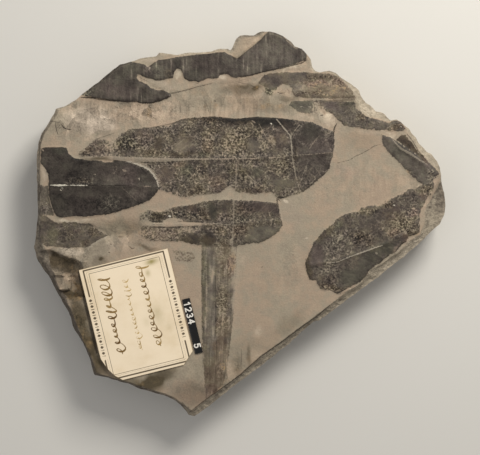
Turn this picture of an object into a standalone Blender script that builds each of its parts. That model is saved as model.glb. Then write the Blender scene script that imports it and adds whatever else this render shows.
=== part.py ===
"""Fossil leaf plate: a split slab of mudstone that carries the compressions of tongue-shaped seed-fern
leaves, with the collector's paper label and a narrow number tag glued to its face.

The plate lies on its back with the leaves up. X runs across the face, Y up the face and Z out of it. The
origin is the middle of the plate's bounding box, on the surface it rests on. Outlines are in millimetres.
"""
import math
import random

import bmesh
import bpy

MM = 0.001
SEED = 7                      # the fractured sides' roughness

# Heights above the rest face, in mm
FACE = 24.0                   # the bedding plane that the plate split along
BAND_RISE = 1.0               # the uppermost lamina, along the top edge
SHELF_RISE = 0.4              # the lamina just below that band
FILM_RISE = 0.4               # a leaf's film and the mud that it pressed
PROUD_FILM_RISE = 0.6         # the leaf that lies over its neighbour
REMNANT_RISE = 0.3            # torn scraps of film
MIDRIB_RISE = 0.35            # a midrib's crest above its leaf
BURIED = 2.0                  # how far a raised form's solid reaches below the face

# The paper label and the tag, placed in the label's own reading frame
LABEL_CORNER = (-36.2, -12.2)     # its upper left corner as it is read
LABEL_TURN = -76.2                # degrees from the face's X to the label's reading direction
LABEL_LENGTH = 58.5
LABEL_HEIGHT = 45.6
TAG_START = 26.6                  # along the label's upper edge
TAG_LENGTH = 28.0
TAG_HEIGHT = 3.9
TAG_CLEARANCE = 0.9               # between the label's edge and the tag
SHEET_THICKNESS = 0.35
GLUE_GAP = 0.3                    # between a glued sheet and the stone

# The plate seen from the front, clockwise from its left edge
OUTLINE = [
    (-101.8, 17), (-102, 32), (-101.5, 40), (-99.5, 45.5), (-97, 49), (-93.5, 55), (-92.5, 58), (-88, 59),
    (-83, 62.2), (-80, 64.5), (-77, 67), (-73, 70), (-70, 72.2), (-66, 75.5), (-63, 78), (-60, 80),
    (-55.5, 81.2), (-50, 83), (-42, 84.2), (-40.5, 86), (-31.5, 85), (-25, 86), (-17, 86.2), (-14, 86.8),
    (-10, 88), (-6, 87.9), (-5, 86.9), (-4, 88), (-3, 90.5), (-2, 93), (0, 94.7), (7, 94.7), (9, 96),
    (11, 96.6), (15, 96.75), (17, 96.3), (21.5, 94.5), (25.5, 91.5), (27.5, 89), (31, 88.2), (33.5, 85),
    (35.5, 82.5), (36.2, 78.5), (38, 76.8), (40, 76.2), (45, 77), (48, 75.8), (54, 71.7), (58, 69),
    (60, 67), (62, 62.8), (63.5, 61), (66, 59.5), (68.3, 57), (71.5, 56.3), (76, 52.2), (79, 52.8),
    (81, 51.8), (85, 47.8), (88.5, 43.5), (89.5, 41), (94.5, 36), (96, 35.5), (99, 31.5), (100.3, 28.5),
    (101.2, 25), (101.5, 20), (103, 16), (103.6, 9), (102.5, 4), (100.5, 0), (95, -5), (90, -10), (84, -15),
    (80, -18.3), (71, -25.5), (65, -30), (60, -33.5), (55, -37.5), (50, -41), (45, -45), (40, -48.5),
    (37, -49.3), (33, -52.5), (25, -60), (20, -63.8), (15, -68), (5, -75.5), (-5, -83), (-15, -91),
    (-21, -95.5), (-23, -96.75), (-26, -96), (-27, -94.5), (-30, -91), (-33, -88.5), (-38, -86),
    (-45, -84.5), (-50, -83), (-56, -80.5), (-68, -77.2), (-73.5, -76), (-75.2, -71), (-76, -67.5),
    (-79.5, -60.5), (-83.5, -54), (-85, -51.5), (-85.7, -47.5), (-87, -44), (-91, -37.5), (-94.5, -31),
    (-97, -26), (-100, -22), (-102, -18.8), (-103.6, -12), (-102.8, -7), (-101.5, 5),
]

# The brow, where the flat face ends and the broken edge begins
BROW = [
    (-99.8, 17), (-100.2, 31), (-99.6, 39.5), (-97.8, 45), (-95.2, 48.6), (-92, 53.6), (-90.8, 57),
    (-86.5, 58.4), (-79, 63.2), (-72.2, 68.8), (-65.4, 74.1), (-59.4, 78.8), (-50, 81.8), (-42, 83),
    (-39.5, 84.8), (-31, 84.2), (-25, 84.9), (-14, 85.6), (-9, 86.9), (-6.5, 86.6), (-5, 84.9),
    (-3.2, 86.5), (-1.6, 90), (-0.4, 93), (8, 93.9), (15, 95.7), (20.6, 93.3), (26.8, 88), (30.2, 87),
    (34.5, 81.6), (34.8, 78), (37.2, 75.6), (45, 75.8), (50, 73), (54, 69.2), (56.5, 66), (58, 62),
    (60, 57), (64, 54), (70, 52.5), (75, 50.8), (80, 51), (83, 48), (85.6, 43.2), (88.2, 39.2), (90.6, 36),
    (93.4, 33), (95.6, 30.6), (98.4, 27.2), (99.9, 24.5), (98.5, 20), (94, 11.5), (92.5, 8), (92, 0),
    (90.2, -5.2), (84.8, -8.8), (79, -14.6), (75.6, -16.4), (70.4, -20.4), (65, -23.4), (60.6, -29.8),
    (53, -34), (45, -40.5), (30, -52), (10, -66.5), (0, -75.5), (-16, -87), (-22, -92), (-24, -93.6),
    (-27.5, -90.5), (-34, -86.2), (-45, -82.6), (-60, -78), (-72, -74.4), (-75, -65), (-78, -60),
    (-82, -50), (-84, -45), (-91, -33), (-95, -24), (-98, -12), (-100.2, -6), (-99.8, 8),
]

# (bearing in degrees from X, mm): how far the broken edge falls from the brow to the widest line
EDGE_DROP = [
    (0, 3.5), (8, 5.0), (13, 3.0), (16, 1.5), (22, 3.0), (35, 4.5), (50, 4.0), (58, 2.0), (62, 1.2),
    (120, 1.2), (150, 1.5), (175, 2.0), (186, 4.0), (195, 8.0), (215, 9.0), (226, 6.0), (240, 3.0),
    (300, 3.5),
]
# (bearing, mm): the small sharp step at the brow
BROW_STEP = [(10, 0.3), (20, 0.4), (50, 0.4), (58, 0.2), (180, 0.2), (255, 0.2), (262, 0.7), (330, 0.5)]
BROW_STEP_WIDTH = 0.5

# (share of the widest line's height, mm in from it): the side's bedding, from the widest line down
SIDE_COURSES = [
    (1.0, 0.0), (0.86, 0.9), (0.81, 0.3), (0.58, 1.2), (0.54, 0.4), (0.26, 1.5), (0.12, 2.4), (0.0, 4.0),
]
COURSE_JITTER = (0.4, 1.5)        # least and most of a course's setback

TOP_BAND = [
    (-80, 63.8), (-73, 69), (-66, 74.2), (-60, 78.4), (-55.5, 79.8), (-51, 80.5), (-47.5, 79.6), (-46, 78.6),
    (-43.8, 80.2), (-41, 81.9), (-38, 82.2), (-34, 83), (-30, 83.7), (-20, 84.8), (-8, 86), (-5, 84.5),
    (-1.5, 82.7), (0, 83.8), (6, 88.6), (10, 91.8), (15, 95.2), (20, 93), (26, 88), (30.5, 86.4),
    (33.5, 82), (30, 80.7), (20, 77.8), (10, 75.3), (5, 74), (-3, 73), (-7, 75), (-10, 74.5),
    (-11, 72.5), (-16, 72.7), (-20.8, 70.8), (-22.5, 71.5), (-25.5, 71.3), (-28, 73), (-28.6, 75),
    (-29.7, 77.2), (-31.5, 77.6), (-33, 75.6), (-33.4, 73), (-35.2, 72.6), (-38, 72.2), (-42, 71.8),
    (-44, 72.8), (-46.5, 73), (-48.5, 74), (-51.3, 75), (-51.5, 73), (-50.2, 71.2), (-48.5, 70.7),
    (-46.3, 69.6), (-44.5, 68), (-42, 67.2), (-38, 66.8), (-36.5, 66), (-34, 64.2), (-35.5, 63.3),
    (-37.5, 62.3), (-42, 61), (-45, 60.3), (-49.5, 60.3), (-52, 61.5), (-56, 61), (-60, 61.2), (-66, 62),
    (-72, 62.9),
]
SHELF = [
    (-38, 67), (-35, 65.3), (-28, 66.6), (-25, 67.4), (-22, 68.4), (-18, 69.3), (-14, 70.2), (-9, 70.7),
    (2, 71.5), (14, 74.5), (34, 79.5), (30, 83), (0, 78), (-30, 79), (-52, 76), (-51, 71.5), (-47, 69.8),
]
LEFT_LEAF = [
    (-99.2, 37.8), (-97, 38.3), (-88, 38.3), (-86.4, 37.7), (-86, 35.5), (-84.2, 33.8), (-82.5, 32.7),
    (-78, 32.3), (-74.7, 31.6), (-69, 31.5), (-67.8, 30.7), (-63.6, 30.7), (-63, 33.4), (-60, 32.7),
    (-57.4, 31.6), (-54, 30.1), (-49.6, 28.1), (-46.6, 27), (-44.4, 25.5), (-42.7, 23.4), (-41, 20.3),
    (-40.5, 17.8), (-41.8, 15.2), (-43.5, 13.6), (-45.3, 11.9), (-49.6, 10), (-54, 8.5), (-57.4, 7.4),
    (-61.7, 5.8), (-66, 4.9), (-72, 4.2), (-78, 3.6), (-82, 3.9), (-88.5, 3.2), (-90.5, 3.3),
    (-92.3, 4.3), (-93.3, 6.1), (-94.5, 10), (-95.5, 14.3), (-95.8, 24.7), (-97.7, 28.2), (-99.7, 30.7),
]
CENTRE_LEAF = [
    (-81, 35.2), (-78, 38.5), (-73, 42), (-66, 44.5), (-60, 44), (-56, 47.5), (-50, 47.8), (-35, 50),
    (-28, 52.7), (-13, 53.8), (-3, 52.5), (8, 53.5), (20, 52.8), (36, 51), (42, 48), (46.5, 46.5),
    (47.3, 42), (46.8, 36), (44.5, 27.5), (42, 24.5), (35, 18.5), (31, 16), (20, 12.5), (16, 15.8),
    (5, 15), (-2.5, 16.5), (-5, 19.2), (-10, 15.5), (-22, 14.3), (-27, 13), (-37, 16.2), (-43, 18),
    (-48, 23.5), (-58, 28.5), (-66, 30), (-76, 31),
]
LOWER_LEAF = [
    (-50, 5.2), (-45.6, 7), (-43, 6.4), (-39, 6), (-35, 7.7), (-31.3, 8.9), (-26.3, 9.3), (-22.5, 9.9),
    (-18.8, 11), (-14.4, 11.7), (-7.5, 12.1), (-0.6, 11.9), (5.6, 11.7), (11.9, 11.1), (18.3, 10.6),
    (19.8, 6), (21.3, -0.5), (19.4, -3.6), (16.3, -6.1), (13.1, -8), (10, -9.5), (6.3, -9.4), (1.9, -10.5),
    (-5, -11), (-18.8, -10.8), (-25, -9.9), (-29, -8.5), (-35, -8.7), (-45, -8.3), (-50, -5.5),
]
RIGHT_LEAF = [
    (32.5, -20), (33.6, -25), (34.8, -27.8), (38.2, -28), (38.7, -30.2), (40.6, -32.4), (42.7, -33.3),
    (45.9, -32.6), (47.3, -34.2), (49.2, -35), (51.2, -34.2), (54, -31.9), (57.9, -30), (60, -28.9),
    (63.2, -25.9), (64.6, -23), (66.5, -21.8), (68, -20.2), (69.9, -19.6), (71.3, -18), (74.7, -15.4),
    (77.6, -14.3), (80, -11.2), (81.4, -9.5), (83.1, -9), (84.3, -6.3), (87.7, -5.3), (89.7, -4.3),
    (89.8, 3), (90, 6.3), (92, 9.7), (93.9, 13.5), (96.3, 16.4), (97.4, 19.3), (96, 21), (90.6, 19.3),
    (87.7, 17.4), (84.8, 17.7), (82.2, 15.7), (77.6, 13.5), (72.3, 11.1), (70.9, 9.3), (66.5, 9.2),
    (60.8, 8.2), (58.8, 6), (55, 5.8), (51.6, 4.6), (48.8, 2.9), (46.3, 0), (41.5, -3.8), (36.7, -9.6),
    (35.3, -12.9), (33.8, -16.3),
]
UPPER_BLADE = [
    (70.8, 44.7), (75, 43), (85, 36.5), (90, 32), (94.5, 28.4), (98.6, 24.5), (96.5, 20.8), (93, 20),
    (88, 23), (84, 25.5), (78, 32), (71, 40),
]
UPPER_SCRAP = [
    (10.2, 70), (10.5, 72.4), (13, 75.2), (20, 75.8), (35, 75.4), (45, 75), (49, 73.2), (56, 65.8),
    (57.5, 62.3), (30, 62.8), (27.5, 64.2), (22, 65), (18.5, 65.2), (16.5, 64.6), (12.3, 65.2), (11.8, 67),
    (14, 68.2),
]
NARROW_SCRAP = [
    (40, 61.6), (57.6, 61), (58, 58), (63.5, 53.6), (75, 50), (79.5, 50.3), (82, 48), (82, 47), (76, 46.5),
    (63, 47.5), (52, 49.2), (46, 55), (42.2, 57), (40.3, 58.4),
]

# Midribs: (leaf's rise, ridge radius, path)
MIDRIBS = {
    "left_midrib": (PROUD_FILM_RISE, 1.1, [(-94, 19.8), (-76, 19.2), (-60, 19.3), (-45, 18.6)]),
    "centre_midrib": (FILM_RISE, 1.2, [
        (-70, 33.2), (-45, 32.5), (-20, 32.5), (10, 33), (30, 34.6), (45.5, 35.7),
    ]),
    "lower_midrib": (FILM_RISE, 1.0, [(-48, -0.6), (-20, -0.4), (2, 0.2), (18, 1.6)]),
    "right_midrib": (FILM_RISE, 1.1, [
        (40, -19.5), (50, -18), (57, -15.5), (63, -13.5), (74, -9.5), (87, -1),
    ]),
    "blade_midrib": (FILM_RISE, 0.9, [(73, 43), (80, 38.8), (88, 33), (95, 26)]),
    "stem_rim": (0.0, 1.3, [(-2.2, -12.5), (-2.8, -30), (-3.8, -45), (-5.2, -60), (-7.4, -76)]),
}

# Hollows where laminae broke away: (floor's depth below the face, outline, open past the edge)
HOLLOWS = {
    "left_terrace": (0.6, [
        (-112, 2.6), (-91, 0), (-88, 1), (-80, 0.5), (-74, 0), (-68, -3.4), (-65, -6), (-70, -7.5),
        (-76, -11), (-79, -18), (-78.6, -24), (-112, -24),
    ]),
    "upper_pit": (3.2, [
        (-112, -12.4), (-97, -13), (-90, -15), (-86, -17.5), (-80, -19), (-78.4, -26.5), (-86, -26),
        (-91, -25), (-97, -26.2), (-112, -27),
    ]),
    "chip_seat": (1.8, [(-112, -24.6), (-85.5, -25.8), (-85.3, -33.2), (-112, -33.6)]),
    "lower_pit": (4.2, [
        (-112, -33), (-85.4, -33), (-85.4, -25.9), (-78.3, -26.4), (-76.4, -36.4), (-84, -37), (-88, -37.4),
        (-112, -38),
    ]),
    "foot_terrace": (1.3, [
        (-112, -37.2), (-76.6, -36.4), (-73.8, -50), (-69.8, -66), (-64.5, -73), (-60, -90), (-112, -90),
    ]),
    "top_window": (1.6, [
        (-5.2, 110), (-5, 86.2), (-1.5, 83), (0, 84.2), (6, 89), (10, 92.2), (15.6, 97.2), (13, 110),
    ]),
}


def bearing_of(point):
    """Bearing of an outline point about the origin, in degrees from X."""
    return math.degrees(math.atan2(point[1], point[0])) % 360.0


def at_bearing(table, bearing):
    """Value at a bearing, straight between the rows (bearing, value) and all round the circle."""
    rows = sorted(table)
    rows = [(rows[-1][0] - 360.0, rows[-1][1])] + rows + [(rows[0][0] + 360.0, rows[0][1])]
    for (start, low), (end, high) in zip(rows, rows[1:]):
        if start <= bearing <= end:
            return low + (high - low) * (bearing - start) / (end - start)
    raise ValueError("no row brackets the bearing")


def material(name, red, green, blue, roughness):
    """A plain Principled material, its colour in linear values."""
    made = bpy.data.materials.new(name)
    made.use_nodes = True
    shader = made.node_tree.nodes["Principled BSDF"]
    shader.inputs["Base Color"].default_value = (red, green, blue, 1.0)
    shader.inputs["Roughness"].default_value = roughness
    made.diffuse_color = (red, green, blue, 1.0)
    return made


def new_collection(name):
    """A collection linked to the scene."""
    made = bpy.data.collections.new(name)
    bpy.context.scene.collection.children.link(made)
    return made


def curve_to_mesh(curve_object, collection):
    """Turn a curve object into a welded closed mesh object in the same place, and remove the curve."""
    name = curve_object.name
    depsgraph = bpy.context.evaluated_depsgraph_get()
    mesh = bpy.data.meshes.new_from_object(curve_object.evaluated_get(depsgraph))
    body = bmesh.new()
    body.from_mesh(mesh)
    bmesh.ops.remove_doubles(body, verts=body.verts, dist=0.00001)
    bmesh.ops.recalc_face_normals(body, faces=body.faces)
    body.to_mesh(mesh)
    body.free()
    place = curve_object.matrix_world.copy()
    bpy.data.objects.remove(curve_object)
    made = bpy.data.objects.new(name, mesh)
    made.matrix_world = place
    collection.objects.link(made)
    return made


def flat_solid(name, outline, low, high, collection, corner=(0.0, 0.0), turn=0.0):
    """A closed outline extruded from height low to high, turned about its own corner."""
    curve = bpy.data.curves.new(name, "CURVE")
    curve.dimensions = "2D"
    curve.fill_mode = "BOTH"
    curve.extrude = (high - low) / 2 * MM
    spline = curve.splines.new("POLY")
    spline.points.add(len(outline) - 1)
    spline.use_cyclic_u = True
    for point, (x, y) in zip(spline.points, outline):
        point.co = (x * MM, y * MM, 0.0, 1.0)
    drawn = bpy.data.objects.new(name, curve)
    drawn.location = (corner[0] * MM, corner[1] * MM, (low + high) / 2 * MM)
    drawn.rotation_euler.z = math.radians(turn)
    collection.objects.link(drawn)
    bpy.context.view_layer.update()
    return curve_to_mesh(drawn, collection)


def ridge(name, path, radius, crest, collection):
    """A low rounded ridge along a path: a tube of that radius whose upper side reaches the crest's height."""
    curve = bpy.data.curves.new(name, "CURVE")
    curve.dimensions = "3D"
    curve.bevel_depth = radius * MM
    curve.bevel_resolution = 1
    curve.use_fill_caps = True
    spline = curve.splines.new("POLY")
    spline.points.add(len(path) - 1)
    for point, (x, y) in zip(spline.points, path):
        point.co = (x * MM, y * MM, (crest - radius) * MM, 1.0)
    drawn = bpy.data.objects.new(name, curve)
    collection.objects.link(drawn)
    bpy.context.view_layer.update()
    return curve_to_mesh(drawn, collection)


def plate_rings():
    """The plate's rings of (x, y, z) from the brow down to the rest face, one point for each outline point.

    Every ring runs along the same bearings: the brow, the foot of its small step, the widest line, and then
    the side's courses of bedding, each set back by its own seeded share.
    """
    rough = random.Random(SEED)
    brow = [(bearing_of(point), math.hypot(*point)) for point in BROW]
    spokes = []
    for point in OUTLINE:
        bearing = bearing_of(point)
        spokes.append((bearing, math.hypot(*point), FACE - at_bearing(EDGE_DROP, bearing)))

    def ring(radius_and_height):
        return [
            (r * math.cos(math.radians(bearing)), r * math.sin(math.radians(bearing)), z)
            for (bearing, _, _), (r, z) in zip(spokes, radius_and_height)
        ]

    rings = [
        ring([(at_bearing(brow, bearing), FACE) for bearing, _, _ in spokes]),
        ring([
            (at_bearing(brow, bearing) + BROW_STEP_WIDTH, FACE - at_bearing(BROW_STEP, bearing))
            for bearing, _, _ in spokes
        ]),
    ]
    for share, setback in SIDE_COURSES:
        rings.append(ring([
            (radius - setback * rough.uniform(*COURSE_JITTER), widest * share)
            for _, radius, widest in spokes
        ]))
    return rings


def plate_body(collection):
    """The bare slab: a loft down its rings, with the flat face and the flat rest face as caps."""
    mesh = bpy.data.meshes.new("slab")
    body = bmesh.new()
    rows = [[body.verts.new((x * MM, y * MM, z * MM)) for x, y, z in ring] for ring in plate_rings()]
    count = len(OUTLINE)
    for upper, lower in zip(rows, rows[1:]):
        for i in range(count):
            j = (i + 1) % count
            body.faces.new((upper[i], upper[j], lower[j], lower[i]))
    bmesh.ops.triangulate(body, faces=body.faces)
    body.faces.new(rows[0])
    body.faces.new(rows[-1])
    bmesh.ops.recalc_face_normals(body, faces=body.faces)
    body.to_mesh(mesh)
    body.free()
    made = bpy.data.objects.new("slab", mesh)
    collection.objects.link(made)
    return made


def raised_forms(collection):
    """Every lamina, leaf film and midrib that stands above the face, as closed solids."""
    laminae = {
        "shelf": (SHELF_RISE, SHELF),
        "top_band": (BAND_RISE, TOP_BAND),
        "left_leaf": (PROUD_FILM_RISE, LEFT_LEAF),
        "centre_leaf": (FILM_RISE, CENTRE_LEAF),
        "lower_leaf": (FILM_RISE, LOWER_LEAF),
        "right_leaf": (FILM_RISE, RIGHT_LEAF),
        "upper_blade": (FILM_RISE, UPPER_BLADE),
        "upper_scrap": (REMNANT_RISE, UPPER_SCRAP),
        "narrow_scrap": (REMNANT_RISE, NARROW_SCRAP),
    }
    forms = [
        flat_solid(name, outline, FACE - BURIED, FACE + rise, collection)
        for name, (rise, outline) in laminae.items()
    ]
    forms += [
        ridge(name, path, radius, FACE + rise + MIDRIB_RISE, collection)
        for name, (rise, radius, path) in MIDRIBS.items()
    ]
    return forms


def hollow_cutters(collection):
    """The blocks that are cut away where laminae broke off."""
    above = FACE + 3 * BURIED
    return [
        flat_solid(name, outline, FACE - depth, above, collection)
        for name, (depth, outline) in HOLLOWS.items()
    ]


def combine(target, forms, operation):
    """Join forms to the target, or cut them from it, and keep them out of the picture."""
    for form in forms:
        boolean = target.modifiers.new(form.name, "BOOLEAN")
        boolean.operation = operation
        boolean.object = form
        form.hide_render = True
        form.display_type = "WIRE"


def label_outline():
    """The label in its reading frame, X along the lines and Y up: three corners are clipped."""
    return [
        (0.0, 0.0), (52.8, 0.0), (LABEL_LENGTH - 0.7, -3.9), (LABEL_LENGTH, -37.4), (55.6, -40.6),
        (51.4, -43.4), (45.6, -LABEL_HEIGHT), (0.0, -LABEL_HEIGHT),
    ]


def tag_outline():
    """The number tag in the label's reading frame: a strip beside the label's upper edge."""
    low, high = TAG_CLEARANCE, TAG_CLEARANCE + TAG_HEIGHT
    end = TAG_START + TAG_LENGTH
    return [(TAG_START, low), (end, low), (end, high), (TAG_START, high)]


def glued_sheet(name, outline, collection):
    """A thin flat sheet on the face, in the label's reading frame."""
    low = FACE + GLUE_GAP
    return flat_solid(name, outline, low, low + SHEET_THICKNESS, collection, LABEL_CORNER, LABEL_TURN)


def main():
    """Build the plate, its label and its tag."""
    for old in list(bpy.data.objects):
        bpy.data.objects.remove(old)
    parts = new_collection("fossil_leaf_plate")
    cutters = new_collection("cutters")

    slab = plate_body(parts)
    slab.data.materials.append(material("mudstone", 0.42, 0.36, 0.29, 0.85))
    combine(slab, hollow_cutters(cutters), "DIFFERENCE")
    combine(slab, raised_forms(cutters), "UNION")

    label = glued_sheet("paper_label", label_outline(), parts)
    label.data.materials.append(material("aged_paper", 0.85, 0.78, 0.62, 0.8))
    tag = glued_sheet("number_tag", tag_outline(), parts)
    tag.data.materials.append(material("black_card", 0.01, 0.01, 0.012, 0.3))


main()
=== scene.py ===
"""Fossil leaf plate: the looks of a split mudstone slab that carries seed-fern leaf compressions.

The stone is one closed skin: its face, broken edge, bedded sides and rest face. Distances to the drawn
outlines travel with the mesh as named attributes in mm, so that the materials can draw crisp margins, ribs
and cracks between the vertices. The paper label and the number tag are thin closed sheets that carry their
printing and ink in the same way.

Sizes, outlines and patterns are in mm on the frame's axes. Blender's own lengths and the studio's are in m.
"""
import logging
import math
import random
from collections.abc import Iterator
from dataclasses import dataclass, field
from enum import Enum

import bpy
import numpy as np
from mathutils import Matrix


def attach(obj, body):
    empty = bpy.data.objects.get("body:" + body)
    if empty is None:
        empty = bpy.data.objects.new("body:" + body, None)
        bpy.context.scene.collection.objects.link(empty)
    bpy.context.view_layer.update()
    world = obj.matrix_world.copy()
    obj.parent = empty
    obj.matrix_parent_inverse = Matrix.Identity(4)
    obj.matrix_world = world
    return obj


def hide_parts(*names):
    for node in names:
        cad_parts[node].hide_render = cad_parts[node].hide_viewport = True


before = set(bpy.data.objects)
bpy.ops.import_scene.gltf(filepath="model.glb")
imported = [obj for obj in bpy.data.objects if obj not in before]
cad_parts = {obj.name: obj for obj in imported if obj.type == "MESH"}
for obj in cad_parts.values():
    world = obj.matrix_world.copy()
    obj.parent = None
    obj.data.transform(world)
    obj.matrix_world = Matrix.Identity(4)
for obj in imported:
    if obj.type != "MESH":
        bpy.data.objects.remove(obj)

LOG = logging.getLogger("fossil_leaf_plate")
MM = 0.001
Point = tuple[float, float]
Array = np.ndarray

# --- Small tools ---


def linear(hex_colour: str) -> tuple[float, float, float, float]:
    """Turn an sRGB hex colour into linear RGBA.

    Args:
        hex_colour: "#rrggbb".

    Returns:
        The linear colour, opaque.
    """
    parts = [int(hex_colour[i:i + 2], 16) / 255.0 for i in (1, 3, 5)]
    return (*(c / 12.92 if c <= 0.04045 else ((c + 0.055) / 1.055) ** 2.4 for c in parts), 1.0)


def ease(value: Array, low: float, high: float) -> Array:
    """Rise from 0 at low to 1 at high as 3t^2 - 2t^3, flat on both sides."""
    t = np.clip((value - low) / (high - low), 0.0, 1.0)
    return t * t * (3.0 - 2.0 * t)


def lattice_noise(x: Array, y: Array, cell: float, seed: int) -> Array:
    """Smooth noise from -1 to 1: seeded values on a square lattice, eased between its corners.

    Args:
        x, y: places in mm.
        cell: the lattice's pitch in mm.
        seed: which lattice.

    Returns:
        One value for each place.
    """
    size = 256
    lattice = np.random.default_rng(seed).uniform(-1.0, 1.0, (size, size))
    column, row = np.floor(x / cell), np.floor(y / cell)
    across, up = ease(x / cell - column, 0.0, 1.0), ease(y / cell - row, 0.0, 1.0)
    i, j = column.astype(int) % size, row.astype(int) % size
    i_next, j_next = (i + 1) % size, (j + 1) % size
    low = lattice[i, j] * (1 - across) + lattice[i_next, j] * across
    high = lattice[i, j_next] * (1 - across) + lattice[i_next, j_next] * across
    return low * (1 - up) + high * up


def fractal_noise(x: Array, y: Array, cell: float, seed: int) -> Array:
    """Lattice noise summed over octaves, each half as wide and half as strong as the one before.

    Args:
        x, y: places in mm.
        cell: the widest octave's pitch in mm.
        seed: the widest octave's lattice.

    Returns:
        Values from -1 to 1.
    """
    shares = (1.0, 0.5, 0.25)
    octaves = (share * lattice_noise(x, y, cell * share, seed + k) for k, share in enumerate(shares))
    return sum(octaves) / sum(shares)


def signed_distance(x: Array, y: Array, outline: list[Point]) -> Array:
    """Distance to a closed outline, positive inside.

    It is the least distance to any side, signed by the even-odd count of sides that a line to +X crosses.

    Args:
        x, y: places in mm.
        outline: corners in order, mm.

    Returns:
        Signed distances in mm.
    """
    nearest = np.full_like(x, np.inf)
    inside = np.zeros(x.shape, bool)
    for (x0, y0), (x1, y1) in zip(outline, outline[1:] + outline[:1]):
        dx, dy = x1 - x0, y1 - y0
        share = np.clip(((x - x0) * dx + (y - y0) * dy) / (dx * dx + dy * dy), 0.0, 1.0)
        nearest = np.minimum(nearest, (x - x0 - share * dx) ** 2 + (y - y0 - share * dy) ** 2)
        if dy != 0.0:
            inside ^= ((y0 > y) != (y1 > y)) & (x < x0 + (y - y0) * dx / dy)
    return np.where(inside, 1.0, -1.0) * np.sqrt(nearest)


def spans(x: Array, y: Array, path: list[tuple]) -> Iterator[tuple[float, Array, Array]]:
    """Coordinates on each straight part of a path, from its own start.

    Args:
        x, y: places in mm.
        path: the path's points in order, as x, y and anything more, mm.

    Yields:
        The part's length, and each place's distance ahead along it and aside to its left.
    """
    for (x0, y0, *_), (x1, y1, *_) in zip(path, path[1:]):
        length = math.hypot(x1 - x0, y1 - y0)
        ux, uy = (x1 - x0) / length, (y1 - y0) / length
        yield length, (x - x0) * ux + (y - y0) * uy, (y - y0) * ux - (x - x0) * uy


def choose(better: Array, new: tuple, old: tuple) -> list[Array]:
    """Take the new values where they are better, and keep the old ones elsewhere."""
    return [np.where(better, fresh, kept) for fresh, kept in zip(new, old)]


def grid_rim(index: Array) -> Array:
    """The numbers round the rim of a grid, in order and each once."""
    return np.concatenate([index[:-1, 0], index[-1, :-1], index[:0:-1, -1], index[0, :0:-1]])


def polygons(*corners: Array) -> list[list[int]]:
    """Faces from one array of vertex numbers for each corner in turn."""
    return np.stack(corners, -1).reshape(-1, len(corners)).tolist()


def along_path(x: Array, y: Array, path: list[Point]) -> tuple[Array, Array]:
    """Coordinates along and across a path, from each place's nearest point on it.

    Args:
        x, y: places in mm.
        path: the path's points in order, mm.

    Returns:
        The distance run along the path, past its ends too, and the signed distance to its left.
    """
    best = np.full_like(x, np.inf)
    along, across = np.zeros_like(x), np.zeros_like(x)
    run = 0.0
    last = len(path) - 2
    for k, (length, ahead, aside) in enumerate(spans(x, y, path)):
        held = np.clip(ahead, -np.inf if k == 0 else 0.0, np.inf if k == last else length)
        gap = (ahead - held) ** 2 + aside ** 2
        new = gap, run + held, np.copysign(np.sqrt(gap), aside)
        best, along, across = choose(gap < best, new, (best, along, across))
        run += length
    return along, across


def at_bearing(table: list[Point], bearing: Array) -> Array:
    """Values at bearings in degrees, straight between the rows (bearing, value) and all round the circle."""
    rows = sorted(table)
    return np.interp(bearing, [b for b, _ in rows], [v for _, v in rows], period=360.0)


def ring_noise(bearing: Array, level: Array | float, cell: float, seed: int) -> Array:
    """Lattice noise round the plate's edge that meets itself.

    It is read on a plane, where the bearing is the angle, and the level adds to a ring of the plate's size.

    Args:
        bearing: degrees.
        level: the second coordinate, mm.
        cell: the lattice's pitch in mm.
        seed: which lattice.

    Returns:
        Values from -1 to 1.
    """
    ring = 95.0
    radius, angle = ring + level, np.radians(bearing)
    return lattice_noise(radius * np.cos(angle), radius * np.sin(angle), cell, seed)


def polar_radius(outline: list[Point], bearing: Array) -> Array:
    """How far a star-shaped outline lies from the origin along each bearing in degrees.

    Each place is where the ray meets the straight side between the two corners on either hand.

    Args:
        outline: corners in order, mm.
        bearing: bearings in degrees.

    Returns:
        Radii in mm.
    """
    corners = sorted((math.degrees(math.atan2(y, x)) % 360.0, x, y) for x, y in outline)
    angles = np.array([c[0] for c in corners])
    xy = np.array([c[1:] for c in corners])
    after = np.searchsorted(angles, bearing % 360.0, side="right") % len(angles)
    start, side = xy[after - 1], xy[after] - xy[after - 1]
    ray = np.stack([np.cos(np.radians(bearing)), np.sin(np.radians(bearing))], -1)
    over = start[..., 0] * side[..., 1] - start[..., 1] * side[..., 0]
    return over / (ray[..., 0] * side[..., 1] - ray[..., 1] * side[..., 0])


def blots(x: Array, y: Array, marks: list[tuple[float, float, float, float, float]]) -> Array:
    """Sum of soft round marks, each a bell curve.

    Args:
        x, y: places in mm.
        marks: for each mark, its middle, half-width and half-height in mm, and its strength.

    Returns:
        One sum for each place.
    """
    total = np.zeros_like(x)
    for cx, cy, rx, ry, strength in marks:
        total += strength * np.exp(-((x - cx) / rx) ** 2 - ((y - cy) / ry) ** 2)
    return total


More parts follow.
